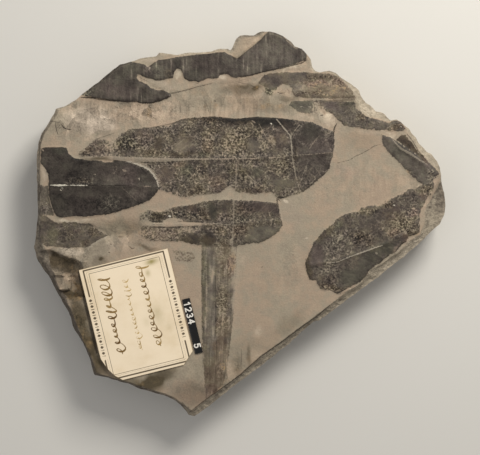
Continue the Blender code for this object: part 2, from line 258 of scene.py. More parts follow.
# Settings of the nodes that repeat. MIX takes a part and the colours at 0 and at 1. SMOOTH eases a value from
# one range, low and high, to another, which is 0 to 1 unless given. FUSE is the first times the second, plus
# the third. SCALE takes a colour or place and a factor. CARRIED is a named value that the mesh carries
MIX = {"kind": "ShaderNodeMix", "data_type": "RGBA", "sockets": (0, 6, 7), "out": 2}
SMOOTH = {"kind": "ShaderNodeMapRange", "interpolation_type": "SMOOTHSTEP"}
FUSE, TIMES, PLUS, MINUS, GREATEST, SIZE = (
    {"kind": "ShaderNodeMath", "operation": operation}
    for operation in ("MULTIPLY_ADD", "MULTIPLY", "ADD", "SUBTRACT", "MAXIMUM", "ABSOLUTE")
)
SCALE = {"kind": "ShaderNodeVectorMath", "operation": "SCALE", "sockets": (0, "Scale")}
CARRIED = {"kind": "ShaderNodeAttribute", "out": "Fac"}
Socket = bpy.types.NodeSocket


class Graph:
    """A material's node tree, with the one call that fills it."""

    def __init__(self, name: str) -> None:
        """Start an empty material.

        Args:
            name: the material's name.
        """
        self.material = bpy.data.materials.new(name)
        self.material.use_nodes = True
        self.nodes = self.material.node_tree.nodes
        self.links = self.material.node_tree.links
        self.nodes.clear()

    def add(
        self, kind: str | dict, inputs: dict | list | None = None, out: int | str = 0,
        sockets: tuple | None = None, **settings: object,
    ) -> Socket | bpy.types.Node:
        """Add a node with its settings, values and links.

        Args:
            kind: the node's type name, or one of the sets of settings above.
            inputs: values, "#rrggbb" colours or nodes' outputs, in order or by socket name or number.
            out: the output that the caller wants.
            sockets: where inputs in order go, if not to the first sockets.
            settings: the node's own properties.

        Returns:
            That output socket, or the node if it has none.
        """
        if isinstance(kind, dict):
            return self.add(inputs=inputs, **({"out": out} | kind | settings))
        node = self.nodes.new(kind)
        for name, value in settings.items():
            setattr(node, name, value)
        if isinstance(inputs, list):
            inputs = dict(zip(sockets or range(len(inputs)), inputs))
        for socket, value in (inputs or {}).items():
            if isinstance(value, Socket):
                self.links.new(value, node.inputs[socket])
            else:
                node.inputs[socket].default_value = linear(value) if isinstance(value, str) else value
        return node.outputs[out] if node.outputs else node

    def millimetres(self) -> Socket:
        """The piece's own coordinates, in mm."""
        return self.add(SCALE, [self.add("ShaderNodeTexCoord", out="Object"), 1.0 / MM])

    def surface(
        self, inputs: dict, height: Socket | None = None, strength: float = 1.0,
    ) -> bpy.types.Material:
        """End the tree with its surface.

        Args:
            inputs: the surface's values and links by name.
            height: heights in mm to emboss it with, if any.
            strength: how strongly.

        Returns:
            The material.
        """
        if height is not None:
            bump = self.add("ShaderNodeBump", {"Height": height, "Distance": MM, "Strength": strength})
            inputs = inputs | {"Normal": bump}
        shader = self.add("ShaderNodeBsdfPrincipled", inputs)
        self.add("ShaderNodeOutputMaterial", {"Surface": shader})
        return self.material


@dataclass
class Skin:
    """A mesh in the making: vertices in mm, faces, named values for each vertex, and a bake map."""

    name: str
    vertices: Array
    faces: list
    fields: dict[str, Array]
    bake_map: Array
    sharp_degrees: float

    def build(self, material: bpy.types.Material, body: str, slot: str, node: str) -> bpy.types.Object:
        """Make the object, dress it, and set it in place of its node.

        Args:
            material: its finish.
            body: the frame's body that it rides on.
            slot: the record's material slot; not used.
            node: the node that it stands for.

        Returns:
            The new object.
        """
        mesh = bpy.data.meshes.new(self.name)
        mesh.from_pydata((self.vertices * MM).tolist(), [], self.faces)
        for title, values in self.fields.items():
            layer = mesh.attributes.new(title, "FLOAT", "POINT")
            layer.data.foreach_set("value", values.astype(np.float32))
        corner = np.empty(len(mesh.loops), np.int32)
        mesh.loops.foreach_get("vertex_index", corner)
        layer = mesh.uv_layers.new(name="OFBake")
        layer.data.foreach_set("uv", self.bake_map[corner].astype(np.float32).ravel())
        mesh.materials.append(material)
        mesh.shade_smooth()
        mesh.set_sharp_from_angle(angle=math.radians(self.sharp_degrees))
        made = bpy.data.objects.new(self.name, mesh)
        bpy.context.scene.collection.objects.link(made)
        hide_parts(node)
        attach(made, body)
        LOG.info("%s: %d vertices, %d faces", self.name, len(mesh.vertices), len(mesh.polygons))
        return made


# --- The stone's outlines, as the frame has them ---

# The plate's widest line, and the brow where its face breaks off
OUTLINE = [
    (-101.8, 17), (-102, 32), (-101.5, 40), (-99.5, 45.5), (-97, 49), (-93.5, 55), (-92.5, 58), (-88, 59),
    (-83, 62.2), (-80, 64.5), (-77, 67), (-73, 70), (-70, 72.2), (-66, 75.5), (-63, 78), (-60, 80),
    (-55.5, 81.2), (-50, 83), (-42, 84.2), (-40.5, 86), (-31.5, 85), (-25, 86), (-17, 86.2), (-14, 86.8),
    (-10, 88), (-6, 87.9), (-5, 86.9), (-4, 88), (-3, 90.5), (-2, 93), (0, 94.7), (7, 94.7), (9, 96),
    (11, 96.6), (15, 96.75), (17, 96.3), (21.5, 94.5), (25.5, 91.5), (27.5, 89), (31, 88.2), (33.5, 85),
    (35.5, 82.5), (36.2, 78.5), (38, 76.8), (40, 76.2), (45, 77), (48, 75.8), (54, 71.7), (58, 69), (60, 67),
    (62, 62.8), (63.5, 61), (66, 59.5), (68.3, 57), (71.5, 56.3), (76, 52.2), (79, 52.8), (81, 51.8),
    (85, 47.8), (88.5, 43.5), (89.5, 41), (94.5, 36), (96, 35.5), (99, 31.5), (100.3, 28.5), (101.2, 25),
    (101.5, 20), (103, 16), (103.6, 9), (102.5, 4), (100.5, 0), (95, -5), (90, -10), (84, -15), (80, -18.3),
    (71, -25.5), (65, -30), (60, -33.5), (55, -37.5), (50, -41), (45, -45), (40, -48.5), (37, -49.3),
    (33, -52.5), (25, -60), (20, -63.8), (15, -68), (5, -75.5), (-5, -83), (-15, -91), (-21, -95.5),
    (-23, -96.75), (-26, -96), (-27, -94.5), (-30, -91), (-33, -88.5), (-38, -86), (-45, -84.5), (-50, -83),
    (-56, -80.5), (-68, -77.2), (-73.5, -76), (-75.2, -71), (-76, -67.5), (-79.5, -60.5), (-83.5, -54),
    (-85, -51.5), (-85.7, -47.5), (-87, -44), (-91, -37.5), (-94.5, -31), (-97, -26), (-100, -22),
    (-102, -18.8), (-103.6, -12), (-102.8, -7), (-101.5, 5),
]
BROW = [
    (-99.8, 17), (-100.2, 31), (-99.6, 39.5), (-97.8, 45), (-95.2, 48.6), (-92, 53.6), (-90.8, 57),
    (-86.5, 58.4), (-79, 63.2), (-72.2, 68.8), (-65.4, 74.1), (-59.4, 78.8), (-50, 81.8), (-42, 83),
    (-39.5, 84.8), (-31, 84.2), (-25, 84.9), (-14, 85.6), (-9, 86.9), (-6.5, 86.6), (-5, 84.9), (-3.2, 86.5),
    (-1.6, 90), (-0.4, 93), (8, 93.9), (15, 95.7), (20.6, 93.3), (26.8, 88), (30.2, 87), (34.5, 81.6),
    (34.8, 78), (37.2, 75.6), (45, 75.8), (50, 73), (54, 69.2), (56.5, 66), (58, 62), (60, 57), (64, 54),
    (70, 52.5), (75, 50.8), (80, 51), (83, 48), (85.6, 43.2), (88.2, 39.2), (90.6, 36), (93.4, 33),
    (95.6, 30.6), (98.4, 27.2), (99.9, 24.5), (98.5, 20), (94, 11.5), (92.5, 8), (92, 0), (90.2, -5.2),
    (84.8, -8.8), (79, -14.6), (75.6, -16.4), (70.4, -20.4), (65, -23.4), (60.6, -29.8), (53, -34),
    (45, -40.5), (30, -52), (10, -66.5), (0, -75.5), (-16, -87), (-22, -92), (-24, -93.6), (-27.5, -90.5),
    (-34, -86.2), (-45, -82.6), (-60, -78), (-72, -74.4), (-75, -65), (-78, -60), (-82, -50), (-84, -45),
    (-91, -33), (-95, -24), (-98, -12), (-100.2, -6), (-99.8, 8),
]
# (bearing, mm): how far the edge falls from the brow to the widest line, and the step at the brow
EDGE_DROP = [
    (0, 3.5), (8, 5.0), (13, 3.0), (16, 1.5), (22, 3.0), (35, 4.5), (50, 4.0), (58, 2.0), (62, 1.2),
    (120, 1.2), (150, 1.5), (175, 2.0), (186, 4.0), (195, 8.0), (215, 9.0), (226, 6.0), (240, 3.0),
    (300, 3.5),
]
BROW_STEP = [(10, 0.3), (20, 0.4), (50, 0.4), (58, 0.2), (180, 0.2), (255, 0.2), (262, 0.7), (330, 0.5)]
# The bedding courses of the side: share of the widest line's height, and setback in mm
SIDE_COURSES = [
    (1.0, 0.0), (0.86, 0.9), (0.81, 0.3), (0.58, 1.2), (0.54, 0.4), (0.26, 1.5), (0.12, 2.4), (0.0, 4.0),
]

# The leaves and their scraps, and the raised lamina (the shelf) just below the top band
TOP_BAND = [
    (-81.5, 65), (-73, 71.5), (-66, 76.5), (-60, 81), (-56, 82.5), (-54, 81), (-51, 80.5), (-47.5, 79.6),
    (-46, 78.6), (-43.8, 80.2), (-41, 81.9), (-38, 82.2), (-34, 83), (-30, 83.7), (-20, 84.8), (-8, 86),
    (-5, 84.5), (-1.5, 82.7), (0, 83.8), (6, 88.6), (10, 92), (12.6, 94.8), (14.9, 97.2), (18.5, 97),
    (21, 94.8), (24.2, 91.2), (27.2, 88.4), (31.5, 88.4), (33.4, 84.8), (33.2, 82.2), (30, 80.7), (20, 77.8),
    (10, 75.3), (5, 74), (-3, 73), (-7, 75), (-10, 74.5), (-11, 72.5), (-16, 72.7), (-20.8, 70.8),
    (-22.5, 71.5), (-25.5, 71.3), (-28, 73), (-28.6, 75), (-29.7, 77.2), (-31.5, 77.6), (-33, 75.6),
    (-33.4, 73), (-35.2, 72.6), (-38, 72.2), (-42, 71.8), (-44, 72.8), (-46.5, 73), (-48.5, 74), (-51.3, 75),
    (-51.5, 73), (-50.2, 71.2), (-48.5, 70.7), (-46.3, 69.6), (-44.5, 68), (-42, 67.2), (-38, 66.8),
    (-36.5, 66), (-34, 64.2), (-35.5, 63.3), (-37.5, 62.3), (-42, 61), (-45, 60.3), (-49.5, 60.3),
    (-52, 61.5), (-56, 61), (-60, 61.2), (-66, 62), (-72, 62.9),
]
SHELF = [
    (-38, 67), (-35, 65.3), (-28, 66.6), (-25, 67.4), (-22, 68.4), (-18, 69.3), (-14, 70.2), (-9, 70.7),
    (2, 71.5), (14, 74.5), (34, 79.5), (30, 83), (0, 78), (-30, 79), (-52, 76), (-51, 71.5), (-47, 69.8),
]
LEFT_LEAF = [
    (-99.2, 37.8), (-97, 38.3), (-88, 38.3), (-86.4, 37.7), (-86, 35.5), (-84.2, 33.8), (-82.5, 32.7),
    (-78, 32.3), (-74.7, 31.6), (-69, 31.5), (-67.8, 30.7), (-63.6, 30.7), (-63, 33.4), (-60, 32.7),
    (-57.4, 31.6), (-54, 30.1), (-49.6, 28.1), (-46.6, 27), (-44.4, 25.5), (-42.7, 23.4), (-41, 20.3),
    (-40.5, 17.8), (-41.8, 15.2), (-43.5, 13.6), (-45.3, 11.9), (-49.6, 10), (-54, 8.5), (-57.4, 7.4),
    (-61.7, 5.8), (-66, 4.9), (-72, 4.2), (-78, 3.6), (-82, 3.9), (-88.5, 3.2), (-90.5, 3.3), (-92.3, 4.3),
    (-93.3, 6.1), (-94.5, 10), (-95.5, 14.3), (-95.8, 24.7), (-97.7, 28.2), (-99.7, 30.7),
]
CENTRE_LEAF = [
    (-81, 35.2), (-77.5, 38), (-74.6, 40.4), (-71.5, 42.4), (-68, 42.2), (-63.8, 41.2), (-62, 43),
    (-59.6, 44.6), (-55.6, 47.3), (-50, 47.9), (-43.8, 48.3), (-38.7, 49.2), (-35.8, 48.4), (-34.3, 50.2),
    (-29, 52.5), (-13, 53.8), (-3, 52.5), (8, 53.5), (20, 52.8), (36, 51), (42, 48), (46.5, 46.5), (47.3, 42),
    (46.8, 36), (44.5, 27.5), (42, 24.5), (35, 18.5), (31, 16), (20, 12.5), (16, 15.8), (5, 15), (-2.5, 16.5),
    (-5, 19.2), (-10, 15.5), (-22, 14.3), (-27, 13), (-37, 16.2), (-43, 18), (-48, 23.5), (-58, 28.5),
    (-66, 30), (-76, 31),
]
LOWER_LEAF = [
    (-50, 5.2), (-45.6, 7), (-43, 6.4), (-39, 6), (-35, 7.7), (-31.3, 8.9), (-26.3, 9.3), (-22.5, 9.9),
    (-18.8, 11), (-14.4, 11.7), (-7.5, 12.1), (-0.6, 11.9), (5.6, 11.7), (11.9, 11.1), (18.3, 10.6),
    (19.8, 6), (21.3, -0.5), (19.4, -3.6), (16.3, -6.1), (13.1, -8), (10, -9.5), (6.3, -9.4), (1.9, -10.5),
    (-5, -11), (-18.8, -10.8), (-25, -9.9), (-29, -8.5), (-35, -8.7), (-45, -8.3), (-50, -5.5),
]
RIGHT_LEAF = [
    (32.5, -20), (33.6, -25), (34.8, -27.8), (38.2, -28), (38.7, -30.2), (40.6, -32.4), (42.7, -33.3),
    (45.9, -32.6), (47.3, -34.2), (49.2, -35), (51.2, -34.2), (54, -31.9), (57.9, -30), (60, -28.9),
    (63.2, -25.9), (64.6, -23), (66.5, -21.8), (68, -20.2), (69.9, -19.6), (71.3, -18), (74.7, -15.4),
    (77.6, -14.3), (80, -11.2), (81.4, -9.5), (83.1, -9), (84.3, -6.3), (87.7, -5.3), (89.7, -4.3), (89.8, 3),
    (90, 6.3), (92, 9.7), (93.9, 13.5), (96.3, 16.4), (97.2, 20.4), (95.6, 22.6), (92, 21), (90.6, 19.3),
    (87.7, 17.4), (84.8, 17.7), (82.2, 15.7), (77.6, 13.5), (72.3, 11.1), (70.9, 9.3), (66.5, 9.2),
    (60.8, 8.2), (58.8, 6), (55, 5.8), (51.6, 4.6), (48.8, 2.9), (46.3, 0), (41.5, -3.8), (36.7, -9.6),
    (35.3, -12.9), (33.8, -16.3),
]
UPPER_BLADE = [
    (71, 44.8), (76.6, 42.5), (80.5, 39.7), (87.4, 35.3), (93.5, 31.4), (98, 27.6), (99.8, 25.2),
    (97.4, 22.4), (93.6, 19.8), (90.6, 20), (84.3, 25.6), (80.5, 30), (75.1, 34.8), (71.2, 39.8),
]
BLADE_SLIVER = [
    (77.9, 42.2), (80.5, 44.3), (82.4, 44.7), (84, 43), (86, 40.6), (88, 37.4), (90, 34.7), (91.6, 34.3),
    (93.2, 32), (94.2, 30.4), (92.6, 31), (90.2, 33), (88.4, 35), (86, 36), (84, 37.8), (81, 40),
]
UPPER_SCRAP = [
    (9.3, 70.2), (10.2, 72.2), (12, 74.4), (15, 75.4), (24, 75.9), (35, 75.7), (46, 75.2), (49.5, 74),
    (53, 71), (55.8, 68), (57.6, 64.8), (58.3, 62.9), (44.4, 62.8), (36, 63), (29.6, 63.4), (27.4, 64),
    (25.8, 65.6), (26.4, 67.8), (24.5, 69.4), (21.7, 70), (19, 68.7), (17.8, 66.8), (16, 64.5), (13.4, 64.8),
    (12.2, 66.2), (12.8, 68.4),
]
NARROW_SCRAP = [
    (40, 61.6), (57.6, 61), (58, 58), (63.5, 53.6), (75, 50.4), (77.5, 52.6), (81, 51), (83, 48), (82, 46.6),
    (76, 46.5), (63, 47.5), (52, 49.2), (46, 55), (42.2, 57), (40.3, 58.4),
]
MIDDLE_SCRAP = [
    (24.3, 59.4), (26, 61.6), (36, 61.9), (41, 61.8), (41.4, 57.5), (38, 55.8), (34, 55.1), (30.5, 55.6),
    (28, 57),
]
LEFT_SCRAP = [
    (-101, 5), (-97, 4), (-91, 0), (-88, 1), (-80, 0.5), (-74, 0), (-71, -3), (-66, -5.8), (-70, -7.5),
    (-74, -10), (-76, -11.5), (-88, -12), (-97, -11), (-102, -9),
]
LEFT_STRIP = [(-101, 19.6), (-96, 19), (-95.2, 12), (-92.4, 4.2), (-96, 4.5), (-102, 5)]
BURIED_RIB = [(-2.2, -12.5), (-2.8, -30), (-3.8, -45), (-5.2, -60), (-7.4, -76)]
STEM = [
    (-19, -10.5), (-19.3, -30), (-18.7, -60), (-18, -75), (-17, -87), (-12, -84), (-8.5, -80), (-7, -75),
    (-5.5, -65), (-4.5, -57), (-3.2, -45), (-2.2, -30), (-1.5, -10),
]
SMALL_PATCH = [(-34, -13), (-24, -14), (-22, -17), (-25, -19), (-32, -18.5)]

DOME = [
    (-80, -24), (-79.3, -17.6), (-77.7, -14.3), (-75.8, -12.3), (-73.5, -10.2), (-69.7, -7.9), (-66.5, -6.3),
    (-62, -5.4), (-57.5, -5.9), (-54.5, -8), (-53, -12), (-56, -22), (-70, -27),
]
# Depth in mm, and outline, of each hollow where the face has broken away
HOLLOWS = [
    (0.6, [
        (-112, 2.6), (-91, 0), (-88, 1), (-80, 0.5), (-74, 0), (-68, -3.4), (-65, -6), (-70, -7.5),
        (-76, -11), (-79, -18), (-78.6, -24), (-112, -24),
    ]),
    (3.2, [
        (-112, -12.4), (-97, -13), (-90, -15), (-86, -17.5), (-80, -19), (-78.4, -26.5), (-86, -26),
        (-91, -25), (-97, -26.2), (-112, -27),
    ]),
    (1.8, [(-112, -24.6), (-85.5, -25.8), (-85.3, -33.2), (-112, -33.6)]),
    (4.2, [
        (-112, -33), (-85.4, -33), (-85.4, -25.9), (-78.3, -26.4), (-76.4, -36.4), (-84, -37), (-88, -37.4),
        (-112, -38),
    ]),
    (1.3, [
        (-112, -37.2), (-76.6, -36.4), (-73.8, -50), (-69.8, -66), (-64.5, -73), (-60, -90), (-112, -90),
    ]),
    (1.6, [
        (-5.2, 110), (-5, 86.2), (-1.5, 83), (0, 84.2), (6, 89), (10, 92.2), (15.6, 97.2), (13, 110),
    ]),
]


class Film(Enum):
    """How a leaf's carbon film looks."""

    SMOOTH = "smooth_film"
    SPECKLED = "film"


@dataclass(frozen=True)
class Leaf:
    """One compression: its outline, its relief and the character of its film.

    shade runs from 0, black-brown, to 1, nearly the stone's own tone. ochre and flake are how much of it
    is weathered brown, and how much is flaked in specks. lean is how far the veins run along the rib for
    each mm away from it, and streak is how plainly they show.
    """

    outline: list[Point]
    rib: list[Point]
    rise: float
    shade: float
    ochre: float
    flake: float
    lean: float = 1.2
    streak: float = 0.4
    ribbed: bool = False
    film: Film = Film.SPECKLED


LEAVES = [
    Leaf(STEM, [(-10, 0), (-10.5, -40), (-12.5, -90)], 0.0, 0.69, 0.4, 0.06, 0.0, 1.7),
    Leaf(LEFT_STRIP, [(-98, 20), (-97, 4)], 0.0, 0.5, 0.1, 0.2),
    Leaf(LEFT_SCRAP, [(-102, -3), (-66, -5)], 0.0, 0.54, 0.3, 0.12),
    Leaf(SMALL_PATCH, [(-34, -16), (-22, -16)], 0.0, 0.88, 0.9, 0.24),
    Leaf(UPPER_SCRAP, [(13, 68), (57, 67)], 0.3, 0.6, 0.6, 0.14),
    Leaf(MIDDLE_SCRAP, [(24, 58), (43, 58)], 0.0, 0.64, 0.2, 0.12),
    Leaf(NARROW_SCRAP, [(40, 55), (82, 47.5)], 0.3, 0.48, 0.2, 0.14),
    Leaf(CENTRE_LEAF, [(-80, 34), (-45, 32.3), (-20, 32.5), (10, 33), (30, 34.6), (47, 35.8)], 0.4,
         0.48, 0.3, 0.42, ribbed=True),
    Leaf(LOWER_LEAF, [(-50, -0.6), (-20, -0.4), (2, 0.2), (21, 1.8)], 0.4, 0.43, 0.3, 0.26, ribbed=True),
    Leaf(RIGHT_LEAF, [(33, -20.5), (50, -18), (57, -15.5), (63, -13.5), (74, -9.5), (90, 1), (97, 18)], 0.4,
         0.46, 0.2, 0.16, ribbed=True),
    Leaf(UPPER_BLADE, [(71, 44.4), (80, 38.8), (88, 33), (97, 24.5)], 0.4,
         0.49, -0.3, 0.04, 0.0, 0.2, ribbed=True),
    Leaf(BLADE_SLIVER, [(79, 44), (92, 33)], 0.0, 0.44, 0.9, 0.1, 0.0),
    Leaf(TOP_BAND, [(-82, 72), (40, 72)], 1.0, 0.38, -0.2, 0.02, 0.0, 1.1, film=Film.SMOOTH),
    Leaf(LEFT_LEAF, [(-100, 19.8), (-76, 19.2), (-60, 19.3), (-40, 18.2)], 0.6,
         0.25, -0.4, 0.08, 0.0, 0.25, ribbed=True, film=Film.SMOOTH),
]

# Bare mud that shows through the films
WINDOWS = [
    [(-52, 1.9), (-47, 1.7), (-44, 0.9), (-38.5, 0.9), (-37.4, 2.6), (-33.5, 3), (-30, 2.4), (-28, 1.5),
     (-24, 1), (-19.5, 0.4), (-19.5, -0.8), (-28, -1.1), (-36, -1.3), (-44, -1.1), (-52, -1)],
    [(-80, 33.7), (-72, 33.6), (-63.2, 34), (-63.2, 30.9), (-68, 30.9), (-69.5, 31.6), (-74.7, 31.8),
     (-78, 32.5)],
]


@dataclass(frozen=True)
class Line:
    """One of the ribs, cracks, ledges or painted shadows: its points (x, y, half-width) in mm, and how
    plainly it shows, from 0 to 1.
    """

    points: list[tuple[float, float, float]]
    part: float


def lines_from(rows: list[tuple]) -> list[Line]:
    """Lines from rows (part, point, point, ...), whose parts and half-widths are in hundredths."""
    return [Line([(x, y, half / 100) for x, y, half in points], part / 100) for part, *points in rows]


# Lines of pale mud, or of white calcite where the part nears 1, and a painted highlight along the raised
# dome's edge
PALE_LINES = lines_from([
    (50, (-6.4, -67, 20), (-6.2, -73, 50), (-5.2, -78, 30)),
    (30, (-16.9, -18, 20), (-16.6, -34, 30), (-16.7, -52, 20)),
    (35, (-1.2, -15, 50), (-1.4, -36, 70), (-2.4, -56, 50), (-5, -70, 30)),
    (65, (-66, 33.4, 90), (-60, 32.6, 110), (-52, 32.2, 120), (-44, 32.1, 110), (-36, 32, 90),
     (-28, 32.3, 60), (-20, 32.4, 35), (-8, 32.5, 30), (6, 32.7, 25), (10, 32.8, 10)),
    (60, (13.4, 33.1, 10), (16, 33.2, 35), (21, 33.4, 20), (24, 33.9, 10), (30, 34.4, 15), (38, 35, 12),
     (46, 35.7, 10)),
    (100, (-95, 19.4, 10), (-92, 19.3, 35), (-89.5, 19.3, 50), (-87, 19.4, 30), (-86, 19.3, 10),
     (-84, 19.3, 12), (-80, 19.3, 25), (-76, 19.3, 10)),
    (50, (-49, 18.9, 10), (-46.5, 18.8, 25), (-44, 18.8, 10)),
    (60, (-50, -0.3, 50), (-36, -0.6, 80), (-27, -0.3, 70), (-20, -0.1, 40), (-12, 0.1, 25), (-4, -0.5, 20),
     (3, -0.6, 15)),
    (75, (43, -19.6, 20), (48.8, -19, 20), (55, -16.3, 25), (60.8, -14.3, 30), (66, -12.4, 30), (70, -11, 25),
     (72, -10.6, 5)),
    (45, (47, -15.3, 10), (49.2, -12.9, 20), (48.7, -9.5, 10)),
    (40, (43, -12, 5), (45.3, -12.9, 15), (49.5, -14.2, 10)), (40, (51.6, -5.2, 10), (53, -8.6, 10)),
    (30, (46.8, -24.5, 15), (49.2, -29.2, 10)),
    (50, (76.2, 42.3, 30), (80.2, 37.8, 50), (85.2, 35, 60), (89.2, 32.4, 45), (93.7, 29.7, 20)),
    (70, (18, 52.6, 25), (21.5, 48.5, 30), (25.3, 43.8, 35), (25.8, 39.4, 35), (26, 36, 30)),
    (55, (26, 36, 30), (26.2, 32.8, 30), (27.6, 25.5, 30), (28.6, 21, 20), (30.2, 15.9, 20)),
    (50, (30.2, 50, 15), (28, 47.6, 20), (25.8, 44.5, 20)),
    (50, (9.5, 50, 10), (11, 47, 25), (13.3, 43, 25), (17.7, 39.4, 20)),
    (40, (14.6, 43.8, 30), (17.5, 41, 50)), (40, (40, 44.5, 10), (37, 41, 30), (34.5, 37.5, 20)),
    (30, (33.8, 31, 15), (32.8, 27.5, 20), (31, 24, 15)),
    (40, (-1.7, 31, 20), (-1.9, 24, 50), (-2.2, 17, 30)),
    (40, (-3.2, 12.5, 50), (-3.2, 6, 45), (-3.4, 0, 30), (-3.6, -6, 40), (-3.8, -11, 30)),
    (45, (2.3, 25.5, 15), (7, 21.5, 25), (13.4, 17.4, 10)), (35, (0, 23, 10), (5, 19, 20), (9, 17.4, 10)),
    (80, (-57, 31.4, 30), (-52.5, 30.4, 45), (-48, 28.6, 55), (-45, 26.9, 50), (-43, 24.4, 45),
     (-41.4, 21.4, 40), (-40.6, 18.6, 20)),
    (50, (-53, 31.3, 10), (-48, 30.2, 20), (-44, 27.6, 20), (-41, 24, 20), (-38.5, 18, 10)),
    (30, (-41, 29.5, 10), (-38, 24, 15), (-35.5, 19.5, 10)), (30, (-59, 18.2, 10), (-51.7, 11.7, 10)),
    (30, (-63.5, 29.4, 10), (-63.4, 25, 20)), (30, (-61.6, 29, 15), (-61.5, 25, 10)),
    (50, (-95.8, 14.3, 10), (-94.6, 10, 25), (-93.3, 6.1, 25), (-92.4, 3.5, 30)),
    (60, (-6, -75, 20), (-5.6, -79, 50)), (35, (48, 23.5, 5), (50.5, 15, 30), (52, 7, 10)),
    (30, (71, 28, 10), (76, 21, 20), (80, 19.5, 10)),
    (35, (35.1, 11.6, 10), (37.8, 14.2, 25), (41, 14.8, 25), (42.6, 16.9, 10)),
    (35, (44.1, 19, 10), (46.8, 15.8, 25), (49.5, 10.5, 25), (50.5, 8.4, 10)),
    (35, (60.1, 20.1, 10), (61.7, 18, 20), (64.4, 20.1, 20), (67.6, 20.6, 20), (69.7, 19, 10)),
    (30, (66, 28.1, 10), (67.6, 24.3, 20), (68.6, 22.2, 10)), (50, (-28.9, 60, 30), (-28.5, 56, 50)),
    (40, (-21, 61, 20), (-20.5, 56.5, 30)), (40, (-19.5, 60.5, 15), (-18.6, 57, 25)),
    (40, (-14.8, 60, 20), (-14.4, 55.5, 25)), (40, (-71, 52, 20), (-69, 45, 30)),
    (50, (-92.5, 51.8, 20), (-89, 51.6, 30)), (70, (-62.4, 57, 40), (-61.8, 55.8, 40)),
    (40, (-46.8, 55.8, 20), (-42, 53, 20)), (60, (31, 55.2, 30), (30.8, 53.6, 30)),
    (60, (36.6, 56, 25), (36.8, 54.2, 25)), (60, (27.5, 78, 30), (27.8, 76.9, 50)),
    # Painted highlight along the raised dome's upper rim, which faces the light
    (70, (-80, -22, 20), (-79.3, -17.6, 40), (-77.7, -14.3, 45), (-75.8, -12.3, 40), (-73.5, -10.2, 45),
     (-69.7, -7.9, 45), (-66.5, -6.3, 35)),
    (100, (15.4, 50.2, 35), (15.8, 49.9, 35)), (95, (-35.6, 4.1, 50), (-34.8, 3.8, 40)),
    (95, (-5.7, -4.7, 30), (-5.3, -4.8, 30)), (75, (-50.4, 22.8, 30), (-50.3, 21.9, 30)),
    (70, (-72.8, 24.8, 25), (-72, 24.8, 25)), (75, (-89.7, 17, 30), (-89.1, 16.6, 30)),
    (50, (-58.5, 27, 50), (-57, 26.4, 50)), (90, (76.6, 9.6, 35), (77.3, 9.3, 35)),
    (80, (80.4, 48.9, 30), (80.6, 48.6, 30)), (50, (6, 51.6, 30), (7.6, 50.6, 40)),
    (60, (-98.6, 37, 40), (-98.3, 36.6, 40)), (50, (67.8, -14.4, 40), (68.6, -14.8, 60)),
    (70, (30.4, 58.7, 35), (31.2, 58.7, 30)), (70, (34.4, 58.6, 35), (35.4, 58.6, 30)),
])
